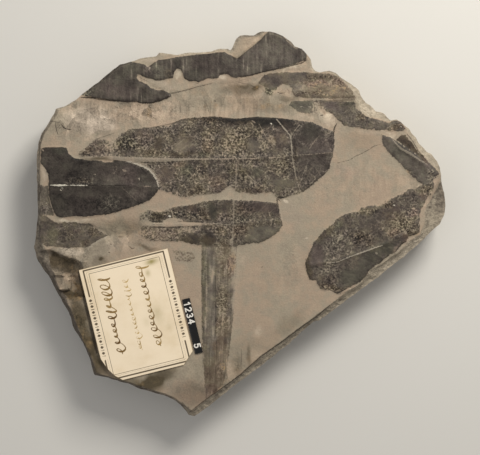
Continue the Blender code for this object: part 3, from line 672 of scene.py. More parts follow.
# Lines of dark cracks, grooves and margins, and painted shadows: along the raised top band's lower edge and
# the shelf's step, under the chip block and a rim chip, and beside the label's lower edge, which glue stain
# darkens too
DARK_LINES = lines_from([
    (50, (35, 69.2, 20), (37.4, 68.8, 30), (39, 68.9, 10)), (50, (41.6, 70.4, 30), (43, 70.8, 20)),
    (60, (49.4, 69.2, 35), (50.6, 68.4, 20)), (50, (52.6, 66.4, 30), (54.2, 65.4, 20)),
    (40, (46, 68, 15), (47.6, 67.8, 20)),
    # Painted shadow beside the label's lower edge, which glue stain darkens too
    (60, (-80.9, -24, 70), (-77, -41.2, 90), (-73, -58.6, 90), (-71.6, -64.6, 50)),
    (60, (18.6, 65.9, 15), (20.4, 65.3, 30), (22.6, 65.6, 15)),
    (50, (23.6, 67.4, 10), (24.6, 66.2, 25), (24.4, 64.9, 15)),
    (35, (-2.5, 71.4, 10), (1.5, 70.2, 30), (4.4, 69.9, 10)),
    (45, (5, 69.4, 15), (7.6, 68.2, 35), (9.4, 67.2, 15)),
    (35, (0.6, -62.5, 12), (0.8, -66, 30), (0.4, -71, 15)),
    (40, (-7.2, -67, 10), (-7.4, -72, 20), (-6.4, -77, 12)),
    (45, (-19.2, -38, 12), (-19.1, -56, 18), (-18.6, -72, 12)),
    (50, (-12.3, -26, 20), (-12.1, -42, 28), (-12.4, -57, 15)),
    (40, (-11.7, -58, 15), (-12, -70, 20), (-12.6, -80, 15)), (40, (-15.3, -62, 15), (-15, -78, 28)),
    # The second line here is painted shadow under the pale chip block; the next runs down the block's right
    # side
    (35, (-9.4, -60, 12), (-9.9, -74, 18)), (75, (-90.8, -33.2, 35), (-88, -34.1, 60), (-85.6, -33.4, 30)),
    (50, (-84.9, -27, 12), (-84.7, -30, 20), (-85, -33, 25)),
    (50, (-98.6, 38.1, 20), (-92, 38.3, 25), (-86.6, 37.9, 20)),
    # From here through the shelf's line, most are painted shadow along the raised top band's lower edge and
    # under the shelf's step
    (75, (0, 73.4, 30), (5, 74.1, 35), (10.3, 75.6, 30), (20.6, 77.7, 25), (30.8, 80.4, 30), (33.3, 82, 30)),
    (85, (-79.5, 63.3, 35), (-72, 63, 35)),
    (80, (-72, 62.6, 15), (-66, 61.9, 30), (-60, 61.3, 30), (-56, 61, 35), (-51.5, 61.2, 30), (-50, 60.5, 30),
     (-45, 60.4, 30), (-41, 61.2, 25), (-38, 62.2, 10)),
    (70, (-49.4, 74.3, 25), (-46.5, 73, 35), (-44, 72.6, 25), (-42, 71.8, 35), (-39, 71.9, 30),
     (-36.6, 72.4, 10)),
    (60, (-54, 72.2, 20), (-50.6, 71.4, 35), (-48.5, 70.6, 25), (-46.3, 69.5, 20)),
    (60, (-28, 73, 20), (-25.5, 71.4, 30), (-22, 71.6, 20), (-20.7, 70.9, 30)),
    (70, (-33.4, 76.2, 40), (-33.4, 74.6, 30)), (60, (-57.2, 75.6, 10), (-58.2, 74, 30)),
    (35, (-67.6, 73.5, 10), (-59, 72, 15), (-50, 70.8, 25), (-45.7, 68, 10)),
    (60, (-35.5, 65.2, 20), (-33, 65.5, 25), (-28, 66.6, 20), (-25, 67.4, 25), (-22, 68.4, 15),
     (-18, 69.3, 20), (-14, 70.2, 10)),
    (70, (-25, -94, 20), (-16, -87, 30), (-8, -81.5, 25), (0, -75.5, 35), (10, -66.5, 30), (20, -59.5, 35),
     (30, -52, 40), (40, -45, 30), (45, -40.5, 20)),
    (85, (46.7, 43.5, 15), (46.9, 46, 35), (47.2, 48, 35), (48.4, 50.2, 20)),
    (60, (48.5, 30.4, 10), (55, 32, 18), (57.5, 33.8, 10), (60, 34.8, 20), (65, 37.4, 20), (67, 39, 15),
     (70.6, 39.8, 10)),
    (65, (31, 15.8, 25), (34, 18.2, 30), (37.5, 21.2, 25), (42, 24.8, 15), (44, 26.7, 15)),
    (50, (-48, 47.6, 20), (-40, 49, 25), (-35, 49.9, 30), (-28, 52.4, 40), (-20, 53, 35), (-13, 53.5, 45),
     (-8, 53, 40)),
    (70, (-8, 53, 30), (-3, 52.3, 45), (2, 52.4, 40), (8, 53.2, 50), (14, 53, 40), (20, 52.6, 30),
     (26, 52, 20)),
    (90, (18.7, 13, 45), (20.5, 13.3, 60), (22, 13.2, 30)),
    (75, (18.3, 12.5, 30), (19, 9.5, 35), (19.4, 7, 25), (19.6, 5, 10)),
    (65, (27.1, 40.5, 30), (27.3, 37, 50), (27.4, 34.5, 35), (27.8, 31, 25), (28.3, 28, 15)),
    (95, (-75.8, 19.2, 30), (-72.2, 19.2, 30)),
    (80, (-69.3, 19.1, 20), (-65.5, 19.1, 15), (-63, 19, 10), (-61.5, 19.1, 30), (-59, 19, 25),
     (-55, 19, 10)),
    (40, (-36, 34.3, 20), (-30, 34, 30), (-24, 33.9, 20)),
    (35, (-66, 32, 15), (-54, 30.8, 20), (-44, 30.7, 15), (-38, 31, 10)),
    (85, (-80, 34.9, 10), (-77, 34.8, 25), (-75.8, 34.6, 30), (-75, 34, 50), (-74.7, 33.9, 30)),
    (70, (-43.5, 1.1, 30), (-38.8, 0.9, 30)),
    (60, (-31, 1.4, 15), (-27, 1.1, 25), (-24, 1, 20), (-19, 0.9, 10)),
    (60, (-44.5, -1.8, 15), (-41, -1.7, 25), (-35, -1.8, 15), (-28, -1.7, 5)),
    (40, (-6, -0.1, 10), (-2, -0.2, 20), (3, 0.2, 10)),
    (60, (-18.5, -4, 25), (-15.5, -4.8, 30), (-12.5, -4.6, 25), (-10, -4.9, 30), (-8, -4.2, 20)),
    (50, (-16, -1.2, 20), (-13, -1.6, 25), (-10.5, -1.2, 20), (-8, -2.4, 25), (-6.5, -3.8, 20)),
    (50, (32.9, -17.5, 20), (33, -22, 40), (34.2, -26, 35), (35.3, -27.7, 35), (38, -27.8, 20)),
    (70, (77.6, -14, 20), (79.6, -11.2, 25), (81.2, -9.8, 30), (83, -8.8, 15)),
    (50, (84, -4.8, 30), (87, -5.2, 45), (89.4, -4.2, 40), (89.8, -1.5, 20)),
    (60, (44.5, -32.8, 20), (47, -34, 30), (49, -34.6, 40), (52, -33, 20), (54.5, -31.6, 20)),
    (50, (39, -30.3, 30), (41, -32.2, 30)), (55, (70, -19.2, 30), (72.5, -17, 35), (75, -15.4, 15)),
    (60, (83.5, 45, 20), (86.7, 41, 30), (89, 36.5, 25), (91, 34.2, 30), (93.5, 31.2, 20)),
    (40, (35, 62, 10), (45, 61.7, 20), (57.5, 62, 15)), (50, (44.5, 63.9, 20), (48, 63.8, 20)),
    (40, (40.4, 60, 50), (40.6, 57.6, 40)), (70, (40.2, 54.2, 30), (41.5, 54.4, 35)),
    (50, (66, 52.9, 20), (69.6, 52, 15)), (40, (70.5, 51.6, 20), (75, 50.9, 20), (79, 51.2, 15)),
    # These three are painted shadow along a chip in the upper left rim
    (85, (-89.4, 49.8, 20), (-88, 47.9, 30), (-86, 47.3, 35), (-83.8, 47.1, 15)),
    (60, (-95.5, 51.5, 10), (-92.5, 51.1, 25), (-89.6, 50.7, 15)),
    (70, (-92.4, 50.5, 10), (-91.8, 47, 25), (-91, 44.5, 10)),
    (50, (-56, 47.4, 15), (-53, 46.9, 20), (-50, 47.3, 15), (-46, 48, 20), (-40, 48.6, 10)),
    (50, (-73, 42, 10), (-67, 44, 20), (-62.5, 45.6, 10)), (40, (-53.5, 52.7, 10), (-50, 54.6, 20)),
    (55, (-46.4, 55.2, 10), (-42, 52.4, 20)),
    (55, (-18.5, 61.5, 5), (-16.8, 60, 10), (-16, 57.5, 20), (-15.6, 55.5, 10)),
    (40, (-29.9, 60, 10), (-29.7, 56, 25)), (80, (-13, 61.6, 30), (-12.2, 61.4, 30)),
    (70, (-78, 57.2, 30), (-77.2, 56.9, 30)), (60, (-62, 58.4, 35), (-61.3, 58.1, 35)),
    (35, (-19.2, -11, 20), (-19.3, -30, 15), (-18.8, -58, 20)), (60, (10.8, -21.6, 20), (11.3, -21.4, 20)),
    (50, (10.4, -32.1, 15), (10.8, -32, 15)), (50, (10.2, -44, 15), (10.6, -44, 15)),
    (40, (37, 11, 10), (37.9, 10.7, 20)), (40, (43.2, 17.8, 15), (44.2, 17.6, 10)),
    (50, (-65, -10, 30), (-64.2, -10.3, 30)), (60, (-65.5, -14.2, 30), (-65, -14.5, 30)),
    (60, (-84, -15.5, 30), (-83.6, -16.8, 20)), (60, (-55.2, -11.3, 20), (-54, -12.4, 35), (-52.8, -12, 20)),
    (50, (-98.4, 5.9, 30), (-98, 5.7, 30)), (40, (-99.2, -5.5, 40), (-98.9, -7.3, 50)),
])


@dataclass(frozen=True)
class Zone:
    """A soft-edged ellipse where a film or the bare mud differs from the rest, in mm.

    turn is in degrees, anticlockwise. shade, ochre and flake add to the film's own. green leans the colour
    from purple, at -1, to olive, at 1. mud brightens the bare stone, or darkens it below zero.
    """

    x: float
    y: float
    wide: float
    high: float
    turn: float = 0.0
    shade: float = 0.0
    ochre: float = 0.0
    flake: float = 0.0
    green: float = 0.0
    mud: float = 0.0

    def weigh(self, x: Array, y: Array) -> Array:
        """How strongly it counts: 1 at its middle, falling steeply near its half-widths.

        It is exp(-d^4), where d is the distance from the middle in half-widths.

        Args:
            x, y: places in mm.

        Returns:
            Weights from 0 to 1.
        """
        turn = math.radians(self.turn)
        along = ((x - self.x) * math.cos(turn) + (y - self.y) * math.sin(turn)) / self.wide
        aside = ((y - self.y) * math.cos(turn) - (x - self.x) * math.sin(turn)) / self.high
        return np.exp(-(along ** 2 + aside ** 2) ** 2)


def zones_from(rows: list[tuple], *titles: str) -> list[Zone]:
    """Zones from rows (x, y, wide, high, turn, part, ...), whose titled parts are in hundredths."""
    return [Zone(*row[:5], **{title: part / 100 for title, part in zip(titles, row[5:])}) for row in rows]


# Where a film differs: x, y, wide, high, turn, then shade, ochre, flake and green in hundredths
FILM_ZONES = [
    # Centre leaf, above its rib, from left to right
    (-77, 36.6, 3, 1.6, 0, -10, 60, 30), (-70, 37, 5, 4, 0, 5, 10, 0, -40),
    (-57, 41, 4, 4, 0, -12, 10, 35, 40), (-63.5, 40, 3, 4.5, -10, 40, 30, 20),
    (-48, 43.5, 5, 4, 0, 0, 0, 0, -50), (-40.5, 40, 2.4, 3.4, 0, -10, 30, -40),
    (-28, 46.5, 8, 3, 0, 0, 0, 20), (-26.5, 42.5, 4, 2.6, 0, 8, 30, -30),
    (-28.5, 38.5, 6.5, 2.4, -8, 18, 10, -45, -10), (-29, 34.6, 7, 1.3, 0, -14, 35, -20),
    (-44, 35, 5, 2, 0, -4, 50, 20), (-18, 34.4, 4, 1.4, 0, -8, 0, 0, 80), (-14.5, 48, 6, 4.5, 0, -8, 10, 20),
    (-3.5, 51.2, 9.5, 2.4, 0, -40, 10, -30), (-17, 52.8, 9, 1.5, 2, -30, 50, 10),
    (8, 52.2, 22, 1.8, -3, -44, 0, -30), (-2.5, 40.5, 7, 5, 0, 12, 60, 35, 20),
    (-16, 38.5, 3, 5, 0, -3, 50, 10, -30), (7.5, 39.5, 3, 3, 0, 6, -20, -45),
    (13, 50.8, 5.5, 2.6, 0, -40, -20, -50, 50), (22.5, 50.2, 6, 2.8, -26, -36, 0, -45, -40),
    (16.5, 41.5, 2.4, 2.4, -40, 12, 60, 10), (21, 43, 3.6, 5.5, 0, -5, 0, -30, -40),
    (35, 46, 6, 3.6, 0, -12, -10, -10, 50), (14, 46.5, 3, 3, 0, -8, 0, -20, -20),
    (41, 39, 6, 4, 0, -2, 0, 0, -40), (36, 37, 11, 14, 20, -13, -50, -36, -30),
    (5, 47, 6, 3, 0, 0, 20, 15, 10),
    # and below it
    (20, 28, 6, 4.4, 0, 3, 30, 25, 20), (20, 20, 7, 3.2, 0, 1, -10, -50, 20),
    (9, 26.5, 3, 2.6, 0, -5, 0, -35, 70), (1.2, 25, 3, 2.8, 0, 5, 60, 25, 50),
    (-5.5, 26.5, 3.2, 4.2, 0, -12, 10, 15), (-11, 21, 5, 5, 0, 0, 20, -10, -60),
    (-19, 27, 3, 4, 0, -8, 20, 20), (-26, 26.5, 3.2, 3.4, 0, -10, 0, 0, 100),
    (-30.5, 30.2, 2.6, 1.8, 0, 15, 80, -20, -20), (-37.5, 25, 4.5, 5.5, -20, 0, 10, -38, -50),
    (-23, 16.5, 5.5, 3, 0, -6, 40, 25), (7, 16.8, 7, 1.8, 0, -14, 20, -10, -30),
    (35, 40.4, 6, 1, 0, 5, 0, 35), (27, 35.5, 2, 5, 0, -6, 30),
    # Lower leaf
    (-40.5, 3, 2.8, 2.2, 0, -16, 40, 20, 30), (-36, 5.6, 4, 2, 0, 0, 20, 30),
    (-47.6, 4.4, 4.6, 3.4, 0, 30, 30, 40, 40), (-25, 7.7, 3, 2, 0, -6, 20, -20, -50),
    (-28, 4.4, 6, 2.4, 0, 3, 0, 40), (-19, 4.6, 3.6, 3.4, 0, -8, 40, 35),
    (-13.5, 6.3, 2.6, 4.6, 0, -12, -10, -35, 80), (-7.5, 8.4, 3.4, 3.2, 0, -6, 0, -20),
    (3.4, 8, 6, 2.8, 0, -6, 20, 10, -50), (-8.5, 2.8, 4.2, 1.9, 0, 10, 20, 50, -20),
    (0.6, 3, 5, 1.7, 0, 6, 10, 30, 30), (12.5, 8, 7, 3, -8, -4, -10, -35, -80),
    (10, -5.5, 10, 3.6, 10, 12, -20, -35, 30), (16.5, 0.8, 3.4, 2.2, 0, 5, 0, 30, 20),
    (-24.4, -2.9, 4.4, 2, 0, 34, 30, 10), (-12, -2.4, 6, 2.4, 0, 20, 40, 25),
    (-24, -7.8, 6, 2.6, -4, -9, 30, -25, 30), (-15.4, -8, 3.2, 2.5, 0, -20, 40, -30),
    (-41, -4.6, 12, 3.8, -4, 28, 50, 22, -20), (-49, -5, 3, 3, 0, 20, 10, 10),
    (-0.5, -4, 4.5, 4, 0, -4, 30, 25, -40),
    # Right leaf
    (34.6, -22, 1.8, 6, 0, -16, 50, -10, 20), (38.5, -15.5, 3.2, 5, 0, 2, -20, -16, -90),
    (42, -3.8, 7, 2, 42, -3, 40, 0, 20), (49.2, -1.4, 1.8, 1.8, 0, 0, 0, 0, 100),
    (50, -10, 9, 5.5, 20, 7, -10, 24), (61, -7.4, 6, 3.6, -10, -8, 30, 40, -10),
    (61, -6.6, 2, 1.4, -10, -14, 20, 30), (70, -2.5, 7, 4, 30, -8, 0, 14, -20),
    (75, 4.6, 4.4, 3.4, 0, -16, 0, -10, -40), (65, 6.8, 8, 1.8, 14, 2, 60, 35, 30),
    (74, 9.8, 3.4, 2.4, 0, -6, 50, 40), (78.5, 7.6, 2.8, 1.8, 10, -6, 0, -10, -70),
    (86, 11, 5, 4.4, 0, 2, 10, 35), (87.5, 5.8, 2.2, 1.8, 0, 10, 20, 20, -100),
    (93.5, 16, 3.4, 3.6, 0, -10, 40, 40), (91, 13.5, 1.8, 2, 0, -4, 0, -20, -80),
    (82.5, -0.5, 8, 6.5, 0, 8, 60, 45, 20), (76.6, -4.6, 2.4, 2.2, 0, 12, 80, 20, -50),
    (87, -4.8, 3.4, 1.2, 0, -12, 80, -20), (82, -7.2, 2, 2.2, 0, -4, 30, -30, -100),
    (78.4, -12, 2, 2.6, -40, 25, 30, 0, -60), (73.2, -12.4, 3.4, 3, 0, -10, -10, -20, 90),
    (67.8, -15.6, 3.8, 4, 0, -8, -10, -20, 70), (62.5, -20, 4, 5, 0, -2, -30, -20, 50),
    (55.5, -26, 6.5, 4, 0, -7, -30, -20, 70), (44.5, -22, 5, 3.4, 0, 5, 0, 40),
    (45, -28, 4.6, 2.4, 0, -12, 20, 20, -30), (45.5, -32, 6.5, 2.2, -10, -4, 70, 50),
    (62, -29.6, 5, 1.2, 40, -10, 30, -10),
    # Blade and scraps at the upper right
    (72.6, 42, 1.8, 3, 0, 2, 50), (80, 36.4, 4, 3.4, -45, -3, 0, 0, 50), (85, 36, 12, 3.2, -45, -10),
    (93, 30.6, 3, 2.2, -40, 12, 30, 5, -80), (95, 24.2, 3, 3.2, 0, -4, 40, 40),
    (85, 26, 3, 1.2, -42, -10, 60, 20), (17, 72.8, 7, 3, 0, -18, -50, -14, -30),
    (28.5, 73, 4.5, 2.8, 0, -8, -40, -10), (40, 73.8, 8, 1.8, 0, -24, 10, 20),
    (50, 71.6, 5, 2.2, -30, -4, 50, 30, -60), (38.5, 70.6, 8, 1.5, 0, 8, 70, 30, -90),
    (44, 67, 12, 3.4, 0, 16, 130, -4), (29, 67.6, 5, 2.6, 0, 20, -30, -10, 20),
    (21.5, 67.4, 3.4, 2, 0, 30, 20, -10), (14.5, 66.4, 3, 1.6, 0, -10, 0, 50, 100),
    (17.4, 68.5, 1.6, 1.6, 0, -12, -50, -10), (20.5, 65.4, 2, 0.5, 0, -30, 50, 20),
    (31.5, 64.6, 3.4, 0.8, 0, -20, 0, 30), (39, 65, 3, 0.8, 0, -15, 40, 20),
    (30.5, 58.6, 6, 3.2, 0, -10, -20, -10, 50), (39.4, 57.6, 3, 3.4, 0, 24, 50, 40),
    (46, 59, 5, 2.6, 0, 5, -20, -10, -60), (54.5, 60.4, 3.8, 0.9, 0, -12, 0, 0, 70),
    (62, 50.5, 5, 2, 0, -8, 0, 10), (61.5, 54, 3, 2.4, 0, -10, 60, 20), (77, 48.5, 4, 1.8, 0, -6, 80, 20),
    (81.5, 49, 1.6, 2, 0, -12, 20, 20, -80),
    # Top band
    (-75.5, 65.4, 3.6, 1.9, 20, 12, 0, 40, 70), (-60, 66, 10, 3.6, 0, 2, 0, 0, -60),
    (-56, 76, 7, 2.8, 30, 5, 0, -5, 50), (-41, 76.5, 4, 4, 0, 10, 10, 10, 40),
    (-46, 76.5, 1.8, 2.4, 0, 20, 0, 30, -30), (-31, 80, 2, 2.4, 0, -14, 0, 0, 40),
    (-17, 79.4, 8, 4, 0, -14, 0, 0, -50), (-22, 74.5, 4, 3, 0, -8, 10, 0, 40), (11, 85, 13, 6, 0, 13),
    (-35, 74.5, 2.6, 2.4, 0, -10, 50, 20), (-68, 68.5, 6, 4, 0, 10), (-49.8, 65, 2.4, 3.4, 0, -24),
    (-41, 64, 4, 2, 0, 7), (-27, 79.5, 5, 4, 0, 8), (-40, 78, 3, 3, 0, 6),
    # Left leaf
    (-90.5, 36.4, 4.6, 1.4, 0, -3, 0, 0, 90), (-90.5, 11, 4.6, 7, 0, -4, 40, 0, 30),
    (-80, 22, 6, 2, 0, 0, 70, 40), (-65.5, 25.5, 5.5, 4.5, 0, 7, 0, 0, -20),
    (-55, 24.5, 5, 5, 0, 8, 0, 5, -90), (-66, 10, 7, 4.5, 0, 0, 0, 15, 20), (-77, 9, 8, 5, 0, -13, 0, 0, -50),
    (-50, 16, 5, 4, 0, 13, 0, 0, -40), (-57.4, 24.8, 1.2, 1.2, 0, -20, 0, 20), (-80, 27, 9, 5, 0, -9),
    (-69.5, 8.5, 5, 4, 0, -14), (-62, 25.5, 6, 5, 0, 6),
    # Left scrap and strip
    (-94, -5, 2.6, 5, 0, 3, 30, 0, 80), (-86.5, -5, 4.4, 5, 0, -12, 0, 12),
    (-82, -4, 2.6, 1.6, 0, -12, 0, 0, -60), (-72.4, -4.6, 3.4, 3, 20, -5, 30, 25),
    (-77.6, -10.6, 3.2, 1.6, 0, -8, 40, 10),
    # Stem
    (-18.4, -35, 0.9, 30, 1, -13, 10, 6, 40), (-17.4, -22, 1.4, 12, 0, -2, 0, 4, 50),
    (-14.3, -38, 2, 34, 1, 2, -30, -10, 10), (-11.8, -46, 0.5, 26, 2, -14, 0, 10),
    (-7, -18, 4.6, 9, 0, 0, 60, 12), (-4.4, -20, 2.2, 4.5, 0, -6, 80, 25, -80),
    (-8.4, -39, 3.6, 6, 0, -10, 40, 35, 10), (-8, -50.5, 4, 5, 0, 4, 90, 20),
    (-9.4, -64, 3.6, 9, 0, -2, 90, 0, -40), (-13, -77, 5, 9, 0, -14, 90, 0, -50),
    (-9.6, -73, 1.6, 6, 0, 10, 80, 10), (-2.8, -30, 1.5, 26, 3, 34),
]
# And where the bare mud differs: the same five, then mud, green and ochre in hundredths
MUD_ZONES = [
    (38.6, 59.4, 1.4, 1.6, 0, -10, 0, 40), (41, 54.6, 1, 0.8, 0, -60), (8, 68, 2, 0.7, 20, -30, 0, 40),
    (-59, -1.4, 12, 4, 0, -50, 30, 20), (-47, -11.6, 6, 1.5, -12, -70, 0, 50),
    (-68.6, -17.6, 1.6, 0.9, 30, -80), (-60, -5.4, 1.5, 0.7, -20, -50), (-82, 2.1, 11, 1.2, 0, 55),
    (-87, 2.2, 3, 1, 0, 40), (-86, -13.6, 9, 1.8, -8, 70, -30), (-72, -12, 5, 3.4, 0, 20),
    (-70, -18.6, 5, 2.6, 10, -40, 0, 30), (-98, 25.5, 2.4, 4.4, 0, 50, -20), (44, 52, 6, 3, -10, 50, -10),
    (32, 53, 8, 1.4, -6, 35), (16, 57.2, 9, 2.6, 0, -30, -30, 60), (27, 78.4, 8, 1.6, 14, 55, 20),
    (-45, 81.8, 5, 1.3, 8, 45, -60), (-31.6, 75, 1.6, 2.6, 5, 70), (-40, 69.6, 9, 2, -8, 40, -20),
    (-15, 66.5, 14, 2.2, 12, -12, 10), (3, 91, 8, 4, 30, 30), (68, 55.5, 6, 2.6, -25, 10, -50),
    (72.6, 53, 1.6, 1, 0, 20, 100), (69, 45.8, 11, 1.1, 0, 45), (76, 43.8, 3, 1, 0, 45),
    (-75, 51, 13, 8, 0, 60, -90), (-50, 55, 12, 4, 0, 15), (-69, 50, 8, 4, 0, 45, -40),
    (50, 62.2, 8, 1, 0, -60, 0, 25), (24, 62.6, 5, 1.6, 0, -45), (60, 42, 9, 6, 0, -20),
    (23.4, 10.9, 0.9, 1.2, 30, 170), (33, -7.7, 0.5, 0.5, 0, 160), (-8, 73, 2, 1.4, 0, 90),
    (-81, -45, 5, 6, 20, -50), (-77.5, -56, 3.6, 9, 20, -45, 60, 35), (-77.5, -54, 5, 17, 20, -50, 50, 15),
    (-40, -76, 8, 4, 18, -85, 40, 30), (-46, -81, 8, 4.4, 8, -95, 40, 15),
    (-56, -78, 9, 2.4, -12, -60, 40, 50), (-5, -72, 26, 12, 30, -20, 20),
    # The second zone here is partly painted shade on the hollow's slope that faces away from the light,
    # partly its own dark colour
    (-23, -85, 13, 6.5, -10, -45, -80, 10), (-87.5, -19.5, 8, 4.8, -28, -100, -20),
    (-94, -18, 3, 5.5, 10, -80, -40), (-88.6, -29, 4, 3, 0, -30, -30, 10), (-82, -34, 5, 7, 20, -40, 20, 70),
    # The first zone here is painted shadow under the pale chip block
    (-86, -35.8, 3.4, 1.8, -10, -130), (-91.5, -35, 1.6, 9, 28, -100), (-70.6, -71, 4, 6, 30, -80, 70, 20),
    (-75, -62, 3, 5, 20, -40, 0, 30), (8.4, -53.5, 3.2, 2.6, 0, 45), (25, -50, 9, 4, 38, -30),
    (-4.3, -70.5, 2.2, 5, 0, 30), (4.6, -66, 1.1, 5, 0, -45, 0, 70), (8.6, -66.4, 3, 3.4, 0, 30, 20),
    (-2.4, -71, 2.6, 4, 10, -35, 30, 20), (0.6, -18, 2, 8, 0, 20), (0, 60.5, 34, 3.4, 2, -20, 0, 25),
    (2, 67.4, 10, 2.4, 4, -62, 0, 15), (99, 8, 4.6, 8, 0, -32, -50), (100.4, 14, 1.8, 4, 0, -35, -60),
    (95.5, 14.5, 1.4, 5.5, -35, 35), (1.5, 69, 4.5, 0.9, 0, -35, 0, 30), (8.5, 67.8, 2.4, 0.7, 0, -40, 0, 30),
    (26, 58, 2.4, 2, 0, -10, 50), (-71, 44.6, 2.4, 1, 20, -25, 80), (-71, 32.6, 6, 1.2, 0, -80),
    (53, 26, 5, 4, 0, 5, -70), (26, 4, 6, 7, 0, 0, -50), (-22, 66, 4, 2, 10, -10),
    (-33, 59, 6, 2.4, 0, 12, -20, 25), (-62, -10.5, 6, 3, 0, 15, -40),
]
ZONES = zones_from(FILM_ZONES, "shade", "ochre", "flake", "green")
ZONES += zones_from(MUD_ZONES, "mud", "green", "ochre")
# Where the bare face is rugged, and where tools have scraped it, as marks for blots()
RUGGED_MARKS = [
    (-80, 52, 18, 12, 0.62), (-45, 55, 18, 6, 0.9), (0, 62, 60, 8, 0.4), (-88, -20, 14, 12, 0.9),
    (-82, -50, 8, 25, 0.9), (-60, -5, 25, 9, 0.5), (-5, -78, 25, 12, 0.5), (90, 14, 12, 14, 0.4),
    (60, 56, 25, 8, 0.6), (20, 86, 25, 10, 0.5), (25, -20, 6, 18, 0.25), (55, 20, 20, 12, 0.2),
]
SCRAPE_MARKS = [
    (-15, 57, 45, 5, 1.0), (-75, 54, 14, 8, 0.8), (60, 22, 26, 14, 0.35), (15, -30, 18, 30, 0.15),
    (-10, 14, 30, 2, 0.5),
]
# (bearing, tone): how fresh and pale, or old and dark, the broken edge is; the low values on the lower left,
# which faces away from the light, are painted shade, and the high ones on the upper right partly painted
# light
EDGE_TONE_AND_SHADE = [
    (0, -0.1), (2, -0.15), (5, -0.4), (8, -0.55), (11, -0.6), (13, -0.2), (16, 0.05), (21, 0.05), (29, 0.0),
    (33, -0.2), (36, 0.1), (40, 0.3), (47, 0.2), (52, 0.0), (58, -0.3), (61, -0.4), (66, 0.1), (70, -0.5),
    (86, -0.5), (92, -0.2), (97, 0.1), (103, 0.3), (121, 0.1), (123.5, -0.6), (141, -0.6), (143, 0.0),
    (150, -0.2), (154, -0.5), (165, -0.5), (172, -0.6), (186, -0.45), (191, -0.6), (194, -0.9), (200, -1.0),
    (220, -1.1), (232, -0.8), (250, -0.45), (262, -0.3), (280, -0.2), (300, -0.25), (318, -0.2), (330, 0.1),
    (345, 0.25), (355, 0.4), (358, 0.0),
]
# (bearing, mm): how far past the brow the face's own colour runs on, or how far short it stops
EDGE_REACH = [
    (4, 0), (7, 1.2), (13, 1.2), (16, 0.5), (18, 0), (31, 0), (32.5, 1.6), (34, 1.6), (35, 0), (66, 0),
    (67.5, 2), (71, 2), (72, 0), (75.5, 0), (77, 2.5), (82, 2.5), (83.5, 0), (120, 0), (123, 2.5), (141, 2.5),
    (143, 0.5), (150, 0), (186, 0), (189, -1.2), (192, -0.6), (195, -1.6), (200, -0.6), (203, -1.4),
    (208, -0.3), (212, 0),
]


# --- The stone ---


@dataclass(frozen=True)
class Grain:
    """One noise of a finish: its features' size in mm, its stretch, its detail and its roughness."""

    size: float
    stretch: tuple[float, float, float] = (1.0, 1.0, 1.0)
    detail: float = 3.0
    roughness: float = 0.6

    def lay(self, g: Graph, place: Socket) -> Socket:
        """Add it to a material, as a value about 0 that keeps within 0.5 of it.

        Args:
            g: the material's graph.
            place: coordinates in mm.

        Returns:
            The noise.
        """
        scale = tuple(part / self.size for part in self.stretch)
        spot = g.add("ShaderNodeMapping", {"Vector": place, "Scale": scale})
        noise = g.add(
            "ShaderNodeTexNoise",
            {"Vector": spot, "Scale": 1.0, "Detail": self.detail, "Roughness": self.roughness},
        )
        return g.add(MINUS, [noise, 0.5])


